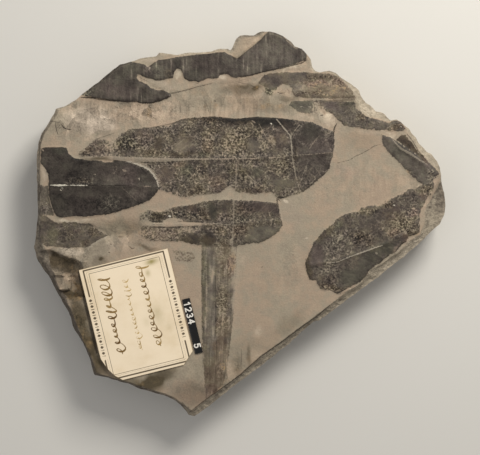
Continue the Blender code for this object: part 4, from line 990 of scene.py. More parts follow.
@dataclass(frozen=True)
class MudstoneFinish:
    """Split mudstone: fine clay-grained sediment, matt and dusty, warm grey-tan.

    Where a leaf lay, a carbon film darkens it to grey-brown with a faint sheen; weathered film turns brown
    and flakes off in specks a mm or so across, along the leaf's veins.
    """

    mud: str = "#9f9380"
    mud_pink: str = "#a4917d"
    # Pale fresh mud, also painting light on the brighter facets and the lit upper right edge
    mud_fresh_and_lit: str = "#c4b6a1"
    mud_brown: str = "#a58760"
    # Dark stain, also painting shade in a hollow that faces away from the light and under the chip block
    mud_stain_and_shade: str = "#554a39"
    # Old dark edge, also painting shade on the lower left edge that faces away from the light
    old_and_shaded_edge: str = "#5e554b"
    film: tuple[str, ...] = ("#1a140e", "#474039", "#696157", "#9a9083")
    brown_film: tuple[str, ...] = ("#1e150c", "#4b3f31", "#6e6251", "#988b79")
    purple: str = "#fff2f6"
    olive: str = "#f2faec"
    calcite: str = "#cfc7b5"
    # Dark of the cracks and grooves, and of the painted shadow lines
    crack_and_shadow: str = "#2b241d"
    ledges: float = 14.0
    facet_size: float = 5.0
    facet_stretch: tuple[float, float, float] = (1.0, 0.6, 1.0)
    swirl_scale: float = 0.15
    swirl_reach: tuple[float, float, float] = (9.0, 9.0, 0.0)
    noises: dict[str, Grain] = field(default_factory=lambda: {
        "cloud": Grain(20.0, detail=3.0, roughness=0.5),
        "cluster": Grain(7.0, detail=2.0, roughness=0.5),
        "patch": Grain(4.5, detail=3.0),
        "lamina": Grain(17.0, detail=5.0, roughness=0.55),
        "grit": Grain(1.7, detail=3.0, roughness=0.65),
        "grain": Grain(0.8, detail=2.0),
        "speck": Grain(1.05, detail=2.0, roughness=0.65),
        "squiggle": Grain(3.2, detail=1.0, roughness=0.5),
        "scrape": Grain(1.3, (1.0, 0.13, 1.0), 2.0, 0.5),
        "bedding": Grain(0.9, (0.05, 0.05, 1.0), 4.0),
    })
    vein_noises: dict[str, Grain] = field(default_factory=lambda: {
        "streak": Grain(1.5, (1.0, 0.10, 1.0), 3.0, 0.6),
    })

    def bare_mud(self, g: Graph, read: dict, n: dict) -> Socket:
        """Mud colour: pinker and greyer patches, under a brightness that grit and scrapes move, with painted
        light and shade on the rugged facets and painted shadow and highlight along the small ledges.

        Args:
            g, read, n: the graph, the values that the mesh carries, and the noises.

        Returns:
            The colour.
        """
        hue = g.add(FUSE, [n["patch"], 0.8, n["cloud"]])
        hue = g.add(FUSE, [n["facet"], 0.12, hue])
        hue = g.add(SMOOTH, [hue, -0.16, 0.16])
        colour = g.add(MIX, [hue, self.mud, self.mud_pink])
        # Below zero the mud darkens to the dark stain colour: real stains, and painted shade in a shaded
        # hollow and under the chip block
        stained = g.add("ShaderNodeMapRange", {"Value": read["mud"], "From Max": -1.0})
        colour = g.add(MIX, [stained, colour, self.mud_stain_and_shade])
        # Brown leans to the darker facets and the pale colour to the brighter ones: painted shade and painted
        # light, over the real brown and pale marks
        for mark, patch, facet, low, tint in (
            (read["brown"], 1.2, -1.0, 0.2, self.mud_brown), (read["mud"], 0.9, 0.55, 0.08, self.mud_fresh_and_lit),
        ):
            part = g.add(FUSE, [n["patch"], patch, mark])
            part = g.add(FUSE, [n["facet"], facet, part])
            part = g.add(SMOOTH, [part, low, 1.1])
            colour = g.add(MIX, [part, colour, tint])

        coarse = g.add(FUSE, [n["grit"], 0.3, n["patch"]])
        coarse = g.add(TIMES, [coarse, g.add(FUSE, [read["rugged"], 0.9, 0.35])])
        fine = g.add(FUSE, [read["rugged"], 0.6, 0.35])
        sparkle = g.add(SMOOTH, [n["speck"], 0.17, 0.24, 0.0, 0.3])
        scrape = g.add(TIMES, [n["scrape"], read["scrape"]])
        # Painted shadow on each small ledge's step, and a painted highlight just above it
        shadow = g.add("ShaderNodeMapRange", [n["lamina_part"], 0.8, 1.0, 0.0, -0.35])
        painted_ledge_highlight = g.add("ShaderNodeMapRange", [n["lamina_part"], 0.2, 0.0, 0.0, 0.3])
        ledge_shadow_and_highlight = g.add(PLUS, [shadow, painted_ledge_highlight])
        light = 1.0
        for part, strength in (
            (coarse, 0.85), (n["grain"], fine), (sparkle, read["rugged"]), (n["cloud"], 0.14), (scrape, 1.1),
            (n["facet"], 0.9), (ledge_shadow_and_highlight, read["rugged"]),
        ):
            light = g.add(FUSE, [part, strength, light])
        return g.add(SCALE, [colour, light])

    def carbon(self, g: Graph, read: dict, n: dict) -> tuple[Socket, Socket]:
        """Film colour, and how far it has worn away.

        It is a ramp from black carbon to bare specks, grey where sound and brown where weathered. The
        specks come in clusters, and the palest places are worn through to the mud.

        Args:
            g, read, n: the graph, the values that the mesh carries, and the noises.

        Returns:
            The colour, and the share that is gone.
        """
        pits = g.add(FUSE, [n["grain"], 0.7, n["speck"]])
        pits = g.add(SMOOTH, [pits, -0.2, 0.2, -0.62, 0.44])
        thread = g.add(SMOOTH, [g.add(SIZE, [n["squiggle"]]), 0.05, 0.01, 0.0, 0.26])
        glint = g.add(SMOOTH, [n["speck"], 0.16, 0.26, 0.0, 0.24])
        loose = g.add(SMOOTH, [n["cluster"], -0.18, 0.16, 0.6, 1.35])
        loose = g.add(TIMES, [loose, read["flake"]])
        shown = g.add(SMOOTH, [loose, 0.04, 0.26])
        light_veins = g.add(SMOOTH, [n["streak"], 0.08, 0.26, 0.0, 0.3])
        veins = g.add(FUSE, [n["streak"], 0.5, light_veins])
        margin = g.add(GREATEST, [read["film"], read["smooth_film"]])
        margin = g.add(SMOOTH, [margin, 2.0, 0.0])
        flaky = g.add(TIMES, [read["flake"], read["flake"]])
        flaky = g.add(FUSE, [flaky, 0.8, -0.06])
        tone = read["shade"]
        for part, strength in (
            (pits, loose), (g.add(PLUS, [thread, glint]), shown), (veins, read["streak"]), (n["patch"], 0.8),
            (n["cloud"], 0.2), (n["grain"], 0.22), (margin, flaky),
        ):
            tone = g.add(FUSE, [part, strength, tone])
        ramps = []
        for hues in (self.film, self.brown_film):
            ramps.append(g.add("ShaderNodeValToRGB", [tone]))
            stops = ramps[-1].node.color_ramp.elements
            stops[0].color, stops[1].color = linear(hues[0]), linear(hues[3])
            stops.new(0.33).color = linear(hues[1])
            stops.new(0.62).color = linear(hues[2])
        brown = g.add(FUSE, [n["patch"], 1.8, read["ochre"]])
        brown = g.add(FUSE, [n["speck"], 0.8, brown])
        brown = g.add(SMOOTH, [brown, -0.1, 1.0])
        worn = g.add(SMOOTH, [tone, 0.72, 1.1, 0.0, 0.85])
        return g.add(MIX, [brown, ramps[0], ramps[1]]), worn

    def tinted(self, g: Graph, read: dict, n: dict, colour: Socket, cover: Socket) -> Socket:
        """Lean a colour to purple or olive, more on the films than on the bare mud.

        Args:
            g, read, n: the graph, the values that the mesh carries, and the noises.
            colour: what leans.
            cover: where the films lie.

        Returns:
            The colour.
        """
        lean = g.add(FUSE, [n["grit"], 1.6, read["green"]])
        lean = g.add(FUSE, [n["patch"], 1.4, lean])
        lean = g.add(SMOOTH, [lean, -1.1, 1.1])
        hue = g.add(MIX, [lean, self.purple, self.olive])
        strength = g.add(FUSE, [cover, 0.7, 0.3])
        return g.add(MIX, [strength, colour, hue], blend_type="MULTIPLY")

    def film_cover(self, g: Graph, read: dict, n: dict) -> Socket:
        """Where any film lies, frayed along its margin where it flakes and clean where it is sound.

        Args:
            g, read, n: the graph, the values that the mesh carries, and the noises.

        Returns:
            Its part, from 0 to 1.
        """
        loose = g.add(FUSE, [read["flake"], 4.0, 1.0])
        frayed = g.add(FUSE, [n["grit"], loose, read["film"]])
        frayed = g.add(FUSE, [n["speck"], 1.4, frayed])
        frayed = g.add(SMOOTH, [frayed, -0.2, 0.2])
        clean = g.add(FUSE, [n["grit"], 1.4, read["smooth_film"]])
        clean = g.add(SMOOTH, [clean, -0.2, 0.2])
        return g.add(GREATEST, [frayed, clean])

    def drawn_line(self, g: Graph, read: dict, n: dict, title: str) -> Socket:
        """Where drawn lines lie: within their half-width of the middle, with ragged, broken sides.

        Args:
            g, read, n: the graph, the values that the mesh carries, and the noises.
            title: which lines, pale or dark.

        Returns:
            Their part, from 0 to 1.
        """
        ragged = g.add(FUSE, [n["grain"], 0.9, read[title + "_half"]])
        inside = g.add(MINUS, [ragged, g.add(SIZE, [read[title + "_side"]])])
        line = g.add(SMOOTH, [inside, -0.12, 0.18])
        return g.add(TIMES, [line, read[title + "_part"]])

    def broken_edge(self, g: Graph, read: dict, n: dict) -> Socket:
        """Colour of the chipped edge and the sides: thin beds, old and dark or fresh and pale by bearing,
        with painted shade on the lower left, which faces away from the light, and some painted light on the
        upper right.

        Args:
            g, read, n: the graph, the values that the mesh carries, and the noises.

        Returns:
            The colour.
        """
        tone = read["edge_tone_and_shade"]
        for part, strength in ((n["bedding"], 0.8), (n["patch"], 1.2), (n["grit"], 0.9)):
            tone = g.add(FUSE, [part, strength, tone])
        # The darker part is old edge and painted shade, the paler part fresh edge and some painted light
        old = g.add(SMOOTH, [tone, 0.1, -0.9])
        fresh = g.add(SMOOTH, [tone, 0.0, 1.1])
        colour = g.add(MIX, [old, self.mud, self.old_and_shaded_edge])
        colour = g.add(MIX, [fresh, colour, self.mud_fresh_and_lit])
        light = g.add(PLUS, [n["grit"], 1.0])
        light = g.add(FUSE, [n["speck"], 0.5, light])
        return g.add(SCALE, [colour, light])

    def material(self) -> bpy.types.Material:
        """Build the node tree.

        Returns:
            The material.
        """
        g = Graph("split_mudstone")
        read = {title: g.add(CARRIED, attribute_name=title) for title in StoneSlab.FIELDS}
        mm = g.millimetres()
        vein = g.add("ShaderNodeCombineXYZ", [read["vein_cross"], read["vein_run"]])
        n = {title: grain.lay(g, mm) for title, grain in self.noises.items()}
        n |= {title: grain.lay(g, vein) for title, grain in self.vein_noises.items()}
        levels = g.add(TIMES, [n["lamina"], self.ledges])
        n["lamina_part"] = g.add("ShaderNodeMath", [levels], operation="FRACT")
        # Voronoi facets: each cell's random brightness is painted light and shade on the rugged mud's broken
        # planes, and the same facets emboss the bump
        whorl = {"Vector": mm, "Scale": self.swirl_scale, "Detail": 3.0}
        swirl = g.add("ShaderNodeTexNoise", whorl, out="Color")
        swirl = g.add("ShaderNodeVectorMath", [swirl, self.swirl_reach, mm], operation="MULTIPLY_ADD")
        swirl = g.add("ShaderNodeMapping", {"Vector": swirl, "Scale": self.facet_stretch})
        facet = g.add("ShaderNodeTexVoronoi", {"Vector": swirl, "Scale": 1.0 / self.facet_size}, out="Color")
        facet = g.add(MINUS, [facet, 0.5])
        n["facet"] = g.add(TIMES, [facet, read["rugged"]])

        cover = self.film_cover(g, read, n)
        pale = self.drawn_line(g, read, n, "pale")
        dark = self.drawn_line(g, read, n, "dark")
        past = g.add(FUSE, [n["grit"], 2.0, read["brow"]])
        past = g.add(FUSE, [n["patch"], 2.2, past])
        edge = g.add(SMOOTH, [past, -0.2, 0.5])
        mud = self.bare_mud(g, read, n)
        white = g.add(SMOOTH, [read["pale_part"], 0.6, 1.0])
        thread = g.add(MIX, [white, mud, self.calcite])
        film, worn = self.carbon(g, read, n)
        kept = g.add(MINUS, [1.0, worn])
        cover = g.add(TIMES, [cover, kept])
        colour = g.add(MIX, [cover, mud, film])
        colour = self.tinted(g, read, n, colour, cover)
        colour = g.add(MIX, [pale, colour, thread])
        colour = g.add(MIX, [edge, colour, self.broken_edge(g, read, n)])
        # Dark lines: cracks and grooves, and painted shadows along ledges and edges
        colour = g.add(MIX, [dark, colour, self.crack_and_shadow])

        step = g.add("ShaderNodeMath", [levels], operation="FLOOR")
        step = g.add(PLUS, [step, g.add(SMOOTH, [n["lamina_part"], 0.9, 1.0])])
        step = g.add(TIMES, [step, read["rugged"]])
        height = 0.0
        for part, strength in (
            (n["grain"], 0.12), (n["grit"], g.add(FUSE, [read["rugged"], 0.18, 0.12])),
            (n["speck"], g.add(TIMES, [cover, 0.15])), (step, 0.1), (n["facet"], 0.3), (dark, -0.15),
            (pale, 0.05), (g.add(TIMES, [n["bedding"], edge]), 0.5), (g.add(TIMES, [n["grit"], edge]), 0.8),
        ):
            height = g.add(FUSE, [part, strength, height])
        rough = g.add("ShaderNodeMapRange", {"Value": cover, "To Min": 0.9, "To Max": 0.62})
        return g.surface(
            {"Base Color": colour, "Roughness": rough, "IOR": 1.5, "Specular IOR Level": 0.3}, height,
        )


@dataclass
class StoneSlab:
    """The slab: its face, broken edge, bedded sides and rest face in one closed skin.

    jitter is the range of the seeded share that each bedding course's setback is multiplied by, and wander
    is how far, in mm, the zones' margins stray.
    """

    face: float = 24.0
    shelf_rise: float = 0.4
    dome_rise: float = 0.6
    midrib_rise: float = 0.35
    midrib_width: float = 1.1
    buried_rib_width: float = 1.3
    ramp: float = 0.4
    hollow_ramp: float = 0.45
    ragged: float = 0.45
    small_ragged: float = 0.2
    swell: float = 0.28
    ripple: float = 0.06
    chip_depth: float = 0.4
    ledge_depth: float = 0.3
    brow_step_width: float = 0.5
    scallop: float = 1.1
    small_scallop: float = 0.5
    rim_chips: float = 0.5
    side_setback: float = 0.35
    side_lamina: float = 0.3
    side_lump: float = 0.5
    small_side_lump: float = 0.3
    cells: int = 256
    side_rows: int = 22
    under_rows: int = 5
    sharp_degrees: float = 42.0
    seed: int = 7
    jitter: tuple[float, float] = (0.4, 1.5)
    wander: float = 2.2
    finish: MudstoneFinish = field(default_factory=MudstoneFinish)

    FIELDS = (
        "film", "smooth_film", "shade", "ochre", "flake", "green", "mud", "brown", "streak", "vein_cross",
        "vein_run", "rugged", "scrape", "brow", "edge_tone_and_shade", "pale_side", "pale_half", "pale_part",
        "dark_side", "dark_half", "dark_part",
    )

    def disc(self) -> tuple[Array, Array]:
        """Spread a square grid over a disc, ring by ring.

        A grid point from -1 to 1 keeps its greater coordinate as the radius, and the ratio of the two
        becomes up to an eighth-turn of bearing, so that cells stay even.

        Returns:
            Radius from 0 to 1 and bearing in degrees, both (cells + 1) square.
        """
        line = np.linspace(-1.0, 1.0, self.cells + 1)
        a, b = np.meshgrid(line, line, indexing="ij")
        wide = np.abs(a) > np.abs(b)
        radius = np.where(wide, a, b)
        other = np.where(wide, b, a)
        turn = np.divide(other, radius, out=np.zeros_like(a), where=radius != 0.0) * 45.0
        bearing = np.where(wide, turn, 90.0 - turn) + np.where(radius < 0.0, 180.0, 0.0)
        return np.abs(radius), bearing % 360.0

    def height(self, x: Array, y: Array) -> Array:
        """The face's height above the rest face.

        It is the bedding plane, lowered in each hollow and raised on the shelf and each leaf by a short
        eased ramp along a slightly ragged outline, with a rounded ridge on each midrib. Clear of the label
        it gains a low dome and a gentle unevenness, and loses chips and small ledges where it is rugged.

        Args:
            x, y: places in mm.

        Returns:
            Heights in mm.
        """
        ragged = self.ragged * fractal_noise(x, y, 3.2, 40) + self.small_ragged * lattice_noise(x, y, 1.4, 44)
        z = np.zeros_like(x)
        for depth, outline in HOLLOWS:
            distance = signed_distance(x, y, outline) + 1.3 * ragged
            inside = ease(distance, -self.hollow_ramp, self.hollow_ramp)
            z = z + inside * (np.minimum(z, -depth) - z)
        raised = [(leaf.rise, leaf.outline) for leaf in LEAVES if leaf.rise]
        for rise, outline in [(self.shelf_rise, SHELF)] + raised:
            inside = ease(signed_distance(x, y, outline) + ragged, -self.ramp, self.ramp)
            z = z + inside * (np.maximum(z, rise) - z)
        for leaf in LEAVES:
            if leaf.ribbed:
                _, across = along_path(x, y, leaf.rib)
                inside = ease(signed_distance(x, y, leaf.outline), -1.0, 2.5)
                z = z + self.midrib_rise * inside * np.exp(-(across / self.midrib_width) ** 2)
        _, across = along_path(x, y, BURIED_RIB)
        ridge = self.midrib_rise * np.exp(-(across / self.buried_rib_width) ** 2)
        z = z + ridge * ease(-y, 11.0, 14.0) * ease(y, -79.0, -74.0)

        label = signed_distance(x, y, PaperLabel().outline())
        open_face = 1.0 - ease(label, -6.0, -1.0)
        rugged = np.clip(blots(x, y, RUGGED_MARKS), 0.0, 1.0)
        chips = np.abs(fractal_noise(x, y, 6.5, 53)) + 0.5 * np.abs(lattice_noise(x, y, 2.9, 57))
        z = z + self.dome_rise * open_face * ease(signed_distance(x, y, DOME) + ragged, -0.5, 1.2)
        bed = fractal_noise(x, y, 18.0, 45)
        ledges = sum(ease(bed - level, -0.04, 0.04) for level in (-0.5, -0.2, 0.1, 0.4))
        z = z + open_face * (
            self.swell * fractal_noise(x, y, 26.0, 50) + self.ripple * fractal_noise(x, y, 5.0, 54)
            - rugged * (self.chip_depth * chips + self.ledge_depth * ledges)
        )
        return self.face + z

    def edge_height(self, radius: Array, brow: Array, rim: Array, bearing: Array, face: Array) -> Array:
        """Heights past the brow: the step, then a fall to the widest line with shallow scallops.

        Args:
            radius, brow, rim: the place, the brow and the widest line along its bearing, mm.
            bearing: degrees.
            face: the face's own height there.

        Returns:
            Heights in mm.
        """
        drop, step = at_bearing(EDGE_DROP, bearing), at_bearing(BROW_STEP, bearing)
        past = np.clip((radius - brow) / np.maximum(rim - brow, 0.2), 0.0, 1.0)
        stepped = step * ease(radius - brow, -0.2, self.brow_step_width)
        scallop = (
            self.scallop * np.abs(ring_noise(bearing, past * 6.0, 6.5, 60))
            + self.small_scallop * np.abs(ring_noise(bearing, past * 5.0, 2.4, 61))
        )
        scallop = scallop * np.sin(np.pi * past) * np.minimum(1.0, drop / 3.0)
        plain = self.face - stepped - (drop - step) * past ** 0.85 - scallop
        blend = ease(radius - brow, -0.3, 0.3)
        return face * (1.0 - blend) + np.minimum(face, plain) * blend

    def courses(self, bearing: Array) -> tuple[Array, Array]:
        """Setback and height of the side's bedding courses along each bearing.

        The setbacks are seeded shares of each course's own, drawn at the outline's corners.

        Args:
            bearing: bearings in degrees.

        Returns:
            Setbacks and heights in mm, one row for each course.
        """
        rough = random.Random(self.seed)
        corners = [math.degrees(math.atan2(y, x)) % 360.0 for x, y in OUTLINE]
        setbacks, heights = [], []
        widest = self.face - at_bearing(EDGE_DROP, bearing)
        for share, setback in SIDE_COURSES:
            drawn = [(corner, setback * rough.uniform(*self.jitter)) for corner in corners]
            setbacks.append(at_bearing(drawn, bearing))
            heights.append(widest * share)
        return np.array(setbacks), np.array(heights)

    def side(self, bearing: Array, rim: Array, start: Array) -> tuple[Array, Array, Array]:
        """The side's rows, from just under the widest line to the rest face.

        Each lies between two courses, with laminae that stand in and out by height, and rougher lumps.

        Args:
            bearing: the rim's bearings in degrees.
            rim: the widest line's radius there, mm.
            start: the rim's height there, mm.

        Returns:
            x, y and z in mm, one row for each ring.
        """
        setbacks, heights = self.courses(bearing)
        shares = np.linspace(1.0, 0.0, self.side_rows + 1)[1:]
        levels = start[None, :] * shares[:, None]
        inset = np.zeros_like(levels)
        for row in range(len(heights) - 1):
            gone = np.clip((heights[row] - levels) / (heights[row] - heights[row + 1]), 0.0, 1.0)
            inset += gone * (setbacks[row + 1] - setbacks[row])
        angle = np.radians(bearing)[None, :]
        bed = levels + 0.6 * np.sin(angle) + 0.4 * np.cos(2.0 * angle)
        lamina = self.side_lamina * lattice_noise(bed, np.zeros_like(bed), 0.9, 70)
        lumps = self.side_lump * ring_noise(bearing[None, :], 1.6 * levels, 5.0, 71)
        lumps += self.small_side_lump * ring_noise(bearing[None, :], 2.0 * levels, 2.2, 72)
        fade = ease(1.0 - shares, 0.0, 0.12)[:, None]
        inset = np.maximum(inset + fade * (self.side_setback + lamina + lumps), 0.0)
        radius = rim[None, :] - inset
        return radius * np.cos(angle), radius * np.sin(angle), levels

    def lines(self, x: Array, y: Array, drawn: list[Line]) -> tuple[Array, Array, Array]:
        """Signed distance to the side of the nearest line, its half-width there, and how plainly it shows.

        The distance keeps its sign across a line, so the material can draw one thinner than the mesh. The
        half-width sinks below zero past a line's ends and sides.

        Args:
            x, y: places in mm.
            drawn: the lines.

        Returns:
            Signed distances and half-widths in mm, and parts from 0 to 1.
        """
        best = np.full_like(x, -np.inf)
        side, half, part = np.zeros_like(x), np.full_like(x, -0.5), np.zeros_like(x)
        for line in drawn:
            halves = [point[2] for point in line.points]
            for h0, h1, (length, ahead, aside) in zip(halves, halves[1:], spans(x, y, line.points)):
                held = np.clip(ahead, 0.0, length)
                width = h0 + (h1 - h0) * held / length - np.abs(ahead - held)
                score = width - np.abs(aside)
                new = score, aside, width, line.part
                best, side, half, part = choose(score > best, new, (best, side, half, part))
        near = ease(best, -1.6, -1.0)
        return np.clip(side, -2.0, 2.0), half * near - 0.5 * (1.0 - near), part

    def fields(self, x: Array, y: Array, brow: Array, bearing: Array) -> dict[str, Array]:
        """Work out every named value that the finish reads.

        A leaf that comes later covers those before it. Between leaves, their characters mix by weight.

        Args:
            x, y: places in mm.
            brow: distance past the brow, mm.
            bearing: degrees.

        Returns:
            Values by name.
        """
        # Distances stop at deep, no weight is below least, and a share of each zone's ochre browns the mud
        deep, least, brown_share = -6.0, 1e-6, 0.6
        out = {title: np.zeros_like(x) for title in self.FIELDS}
        out["film"] += deep
        out["smooth_film"] += deep
        weight = np.full_like(x, least)
        plain = {"shade": 0.5, "ochre": 0.3, "flake": 0.3, "streak": 0.5}
        mixed = {title: value * weight for title, value in plain.items()}
        strongest = np.full_like(x, -np.inf)
        for leaf in LEAVES:
            distance = signed_distance(x, y, leaf.outline)
            out[leaf.film.value] = np.maximum(out[leaf.film.value], np.maximum(distance, deep))
            pull = ease(distance, -1.2, 0.3) ** 2 + least * np.exp(np.minimum(distance, 0.0))
            over = 1.0 - ease(distance, -0.4, 0.4)
            weight = weight * over + pull
            for title in mixed:
                mixed[title] = mixed[title] * over + pull * getattr(leaf, title)
            run, across = along_path(x, y, leaf.rib)
            closer = (distance > -1.5) & (distance >= np.minimum(strongest, 0.0))
            if leaf.lean or leaf.film is Film.SMOOTH:
                run, across = across, run - leaf.lean * np.abs(across)
            old = strongest, out["vein_cross"], out["vein_run"]
            strongest, out["vein_cross"], out["vein_run"] = choose(closer, (distance, across, run), old)
        for title, total in mixed.items():
            out[title] = total / weight
        for window in WINDOWS:
            outside = np.clip(-signed_distance(x, y, window), deep, -deep)
            for film in Film:
                out[film.value] = np.minimum(out[film.value], outside)
        wander_x = x + self.wander * fractal_noise(x, y, 5.0, 90)
        wander_y = y + self.wander * fractal_noise(x, y, 5.0, 95)
        for zone in ZONES:
            weight = zone.weigh(wander_x, wander_y)
            for title in ("shade", "ochre", "flake", "green", "mud"):
                out[title] += weight * getattr(zone, title)
            out["brown"] += brown_share * weight * zone.ochre
        for title in ("shade", "flake"):
            out[title] = np.clip(out[title], 0.0, 1.2)
        out["rugged"] = np.clip(blots(x, y, RUGGED_MARKS), 0.0, 1.0)
        out["scrape"] = np.clip(blots(x, y, SCRAPE_MARKS), 0.0, 1.0)
        for title, drawn in (("pale", PALE_LINES), ("dark", DARK_LINES)):
            out[title + "_side"], out[title + "_half"], out[title + "_part"] = self.lines(x, y, drawn)
        out["brow"] = np.clip(brow - at_bearing(EDGE_REACH, bearing), -4.0, 4.0)
        out["edge_tone_and_shade"] = at_bearing(EDGE_TONE_AND_SHADE, bearing)
        return out

    def build(self) -> bpy.types.Object:
        """Compute the skin and set it in the frame.

        Returns:
            The slab's object.
        """
        share, bearing = self.disc()
        rim, brow = polar_radius(OUTLINE, bearing), polar_radius(BROW, bearing)
        rim = rim - self.rim_chips * (0.5 + 0.5 * ring_noise(bearing, 0.0, 2.6, 62))
        radius = share * rim
        x, y = radius * np.cos(np.radians(bearing)), radius * np.sin(np.radians(bearing))
        z = self.edge_height(radius, brow, rim, bearing, self.height(x, y))

        count = self.cells + 1
        index = np.arange(count * count).reshape(count, count)
        loop = grid_rim(index)
        rim_bearing, rim_radius, rim_z = bearing.ravel()[loop], rim.ravel()[loop], z.ravel()[loop]
        side_x, side_y, side_z = self.side(rim_bearing, rim_radius, rim_z)
        foot_x, foot_y = side_x[-1], side_y[-1]
        inward = np.linspace(1.0, 0.0, self.under_rows + 1)[1:-1] ** 0.8
        under_x = inward[:, None] * foot_x[None, :]
        under_y = inward[:, None] * foot_y[None, :]

        all_x = np.concatenate([x.ravel(), side_x.ravel(), under_x.ravel(), [0.0]])
        all_y = np.concatenate([y.ravel(), side_y.ravel(), under_y.ravel(), [0.0]])
        all_z = np.concatenate([z.ravel(), side_z.ravel(), 0.0 * under_x.ravel(), [0.0]])
        bearings = np.degrees(np.arctan2(all_y, all_x)) % 360.0
        far_past = 4.0
        past = np.concatenate([(radius - brow).ravel(), np.full(side_x.size + under_x.size + 1, far_past)])

        faces = self.faces(index, loop, side_x.shape[0] + under_x.shape[0], len(all_x) - 1)
        values = self.fields(all_x, all_y, past, bearings)
        skin = Skin(
            "stone_slab", np.stack([all_x, all_y, all_z], 1), faces, values,
            self.bake_map(x.size, side_x.shape[0], len(loop), all_x, all_y), self.sharp_degrees,
        )
        return skin.build(self.finish.material(), "root", "mudstone", "slab")

    def faces(self, index: Array, loop: Array, rings: int, centre: int) -> list:
        """Faces of the grid, of the rings below its rim, and of the fan that closes the rest face.

        Args:
            index, loop: vertex numbers of the face's grid, and round its rim.
            rings: how many rings follow the rim.
            centre: the number of the vertex under the middle.

        Returns:
            Faces as lists of vertex numbers.
        """
        top = polygons(index[:-1, :-1], index[1:, :-1], index[1:, 1:], index[:-1, 1:])
        around = len(loop)
        ring_index = index.size + np.arange(rings * around).reshape(rings, around)
        rows = np.concatenate([loop[None, :], ring_index])
        upper, lower = rows[:-1], rows[1:]
        wall = polygons(lower, np.roll(lower, -1, 1), np.roll(upper, -1, 1), upper)
        last = rows[-1]
        return top + wall + polygons(np.roll(last, -1), last, np.full(around, centre))

    def bake_map(self, grid: int, sides: int, around: int, all_x: Array, all_y: Array) -> Array:
        """Lay the skin out flat: the face large, the sides as a strip of rings, the rest face small.

        Args:
            grid, sides, around: numbers of vertices in the face, of rings, and of vertices in a ring.
            all_x, all_y: every vertex's place in mm.

        Returns:
            A place on the map, from 0 to 1, for each vertex.
        """
        margin, scale, rest_scale = 0.01, 0.72 / 208.0, 0.0012
        uv = np.stack([margin + (all_x + 104.0) * scale, 0.27 + (all_y + 97.0) * scale], 1)
        share = np.linspace(0.0, 1.0, around, endpoint=False)
        rows = np.arange(sides)
        strip_u = margin + 0.98 * np.broadcast_to(share, (sides, around))
        strip_v = 0.25 - 0.1 * np.broadcast_to(rows[:, None] / sides, (sides, around))
        uv[grid:grid + sides * around] = np.stack([strip_u.ravel(), strip_v.ravel()], 1)
        rest = grid + sides * around
        uv[rest:] = np.stack([0.87 + all_x[rest:] * rest_scale, 0.6 + all_y[rest:] * rest_scale], 1)
        return uv


# --- The label and the tag ---


def stroke_depth(u: Array, v: Array, strokes: list) -> tuple[Array, Array]:
    """Depth inside the nearest pen stroke, and that stroke's tone.

    A stroke's edge is as far from its path as its half-width, which runs straight from point to point.

    Args:
        u, v: places on the sheet, mm.
        strokes: for each stroke, its points as rows of u, v, half-width and tone.

    Returns:
        Depths in mm, below zero outside, and tones.
    """
    depth, faint = np.full_like(u, -1.0), np.zeros_like(u)
    for stroke in strokes:
        for (u0, v0, h0, tone), (u1, v1, h1, _) in zip(stroke, stroke[1:]):
            du, dv = u1 - u0, v1 - v0
            held = np.clip(((u - u0) * du + (v - v0) * dv) / (du * du + dv * dv + 1e-9), 0.0, 1.0)
            inside = h0 + (h1 - h0) * held - np.hypot(u - u0 - held * du, v - v0 - held * dv)
            depth, faint = choose(inside > depth, (inside, tone), (depth, faint))
    return depth, faint


@dataclass
class Sheet:
    """What the label and the tag share: a thin closed sheet over a grid, glued a little above the stone."""

    length: float
    height: float
    thickness: float
    lift: float
    columns: int
    rows: int

    # The label's upper left corner on the face, its turn in degrees, and the angle that stays sharp
    CORNER = (-36.2, -12.2)
    TURN = -76.2
    SHARP_DEGREES = 50.0

    def on_face(self, u: Array, v: Array) -> Array:
        """Turn places in the label's reading frame into places on the stone's face.

        Args:
            u, v: mm to the right of the label's upper left corner, and above it.

        Returns:
            Rows of x and y in mm.
        """
        c, s = math.cos(math.radians(self.TURN)), math.sin(math.radians(self.TURN))
        u, v = np.ravel(u), np.ravel(v)
        return np.stack([self.CORNER[0] + u * c - v * s, self.CORNER[1] + u * s + v * c], 1)

    def grid(self) -> tuple[Array, Array]:
        """Shares along the sheet and across it, from 0 to 1."""
        return np.meshgrid(np.linspace(0, 1, self.columns), np.linspace(0, 1, self.rows), indexing="ij")

    def skin(self, name: str, places: Array, low: Array, high: Array, values: dict[str, Array]) -> Skin:
        """Close the sheet: an upper skin, the same grid below it, and a wall round both.

        Args:
            name: the piece's name.
            places: x and y of each grid point in mm, as rows.
            low, high: heights of the two skins in mm.
            values: the finish's named values on the grid.

        Returns:
            The skin, laid out for baking with its upper side large.
        """
        index = np.arange(low.size).reshape(low.shape)
        below = index + index.size
        loop = grid_rim(index)
        beneath = loop + index.size
        faces = polygons(index[:-1, :-1], index[:-1, 1:], index[1:, 1:], index[1:, :-1])
        faces += polygons(below[:-1, :-1], below[1:, :-1], below[1:, 1:], below[:-1, 1:])
        faces += polygons(loop, np.roll(loop, -1), np.roll(beneath, -1), beneath)
        shares = np.stack([part.ravel() for part in self.grid()], 1)
        # On the map, the corner and the size of the upper side, then of the lower one
        laid = (((0.01, 0.25), (0.98, 0.74)), ((0.01, 0.01), (0.25, 0.2)))
        bake_map = np.concatenate([corner + shares * size for corner, size in laid])
        vertices = np.concatenate([np.column_stack([places, level.ravel()]) for level in (high, low)])
        doubled = {title: np.tile(value.ravel(), 2) for title, value in values.items()}
        return Skin(name, vertices, faces, doubled, bake_map, self.SHARP_DEGREES)


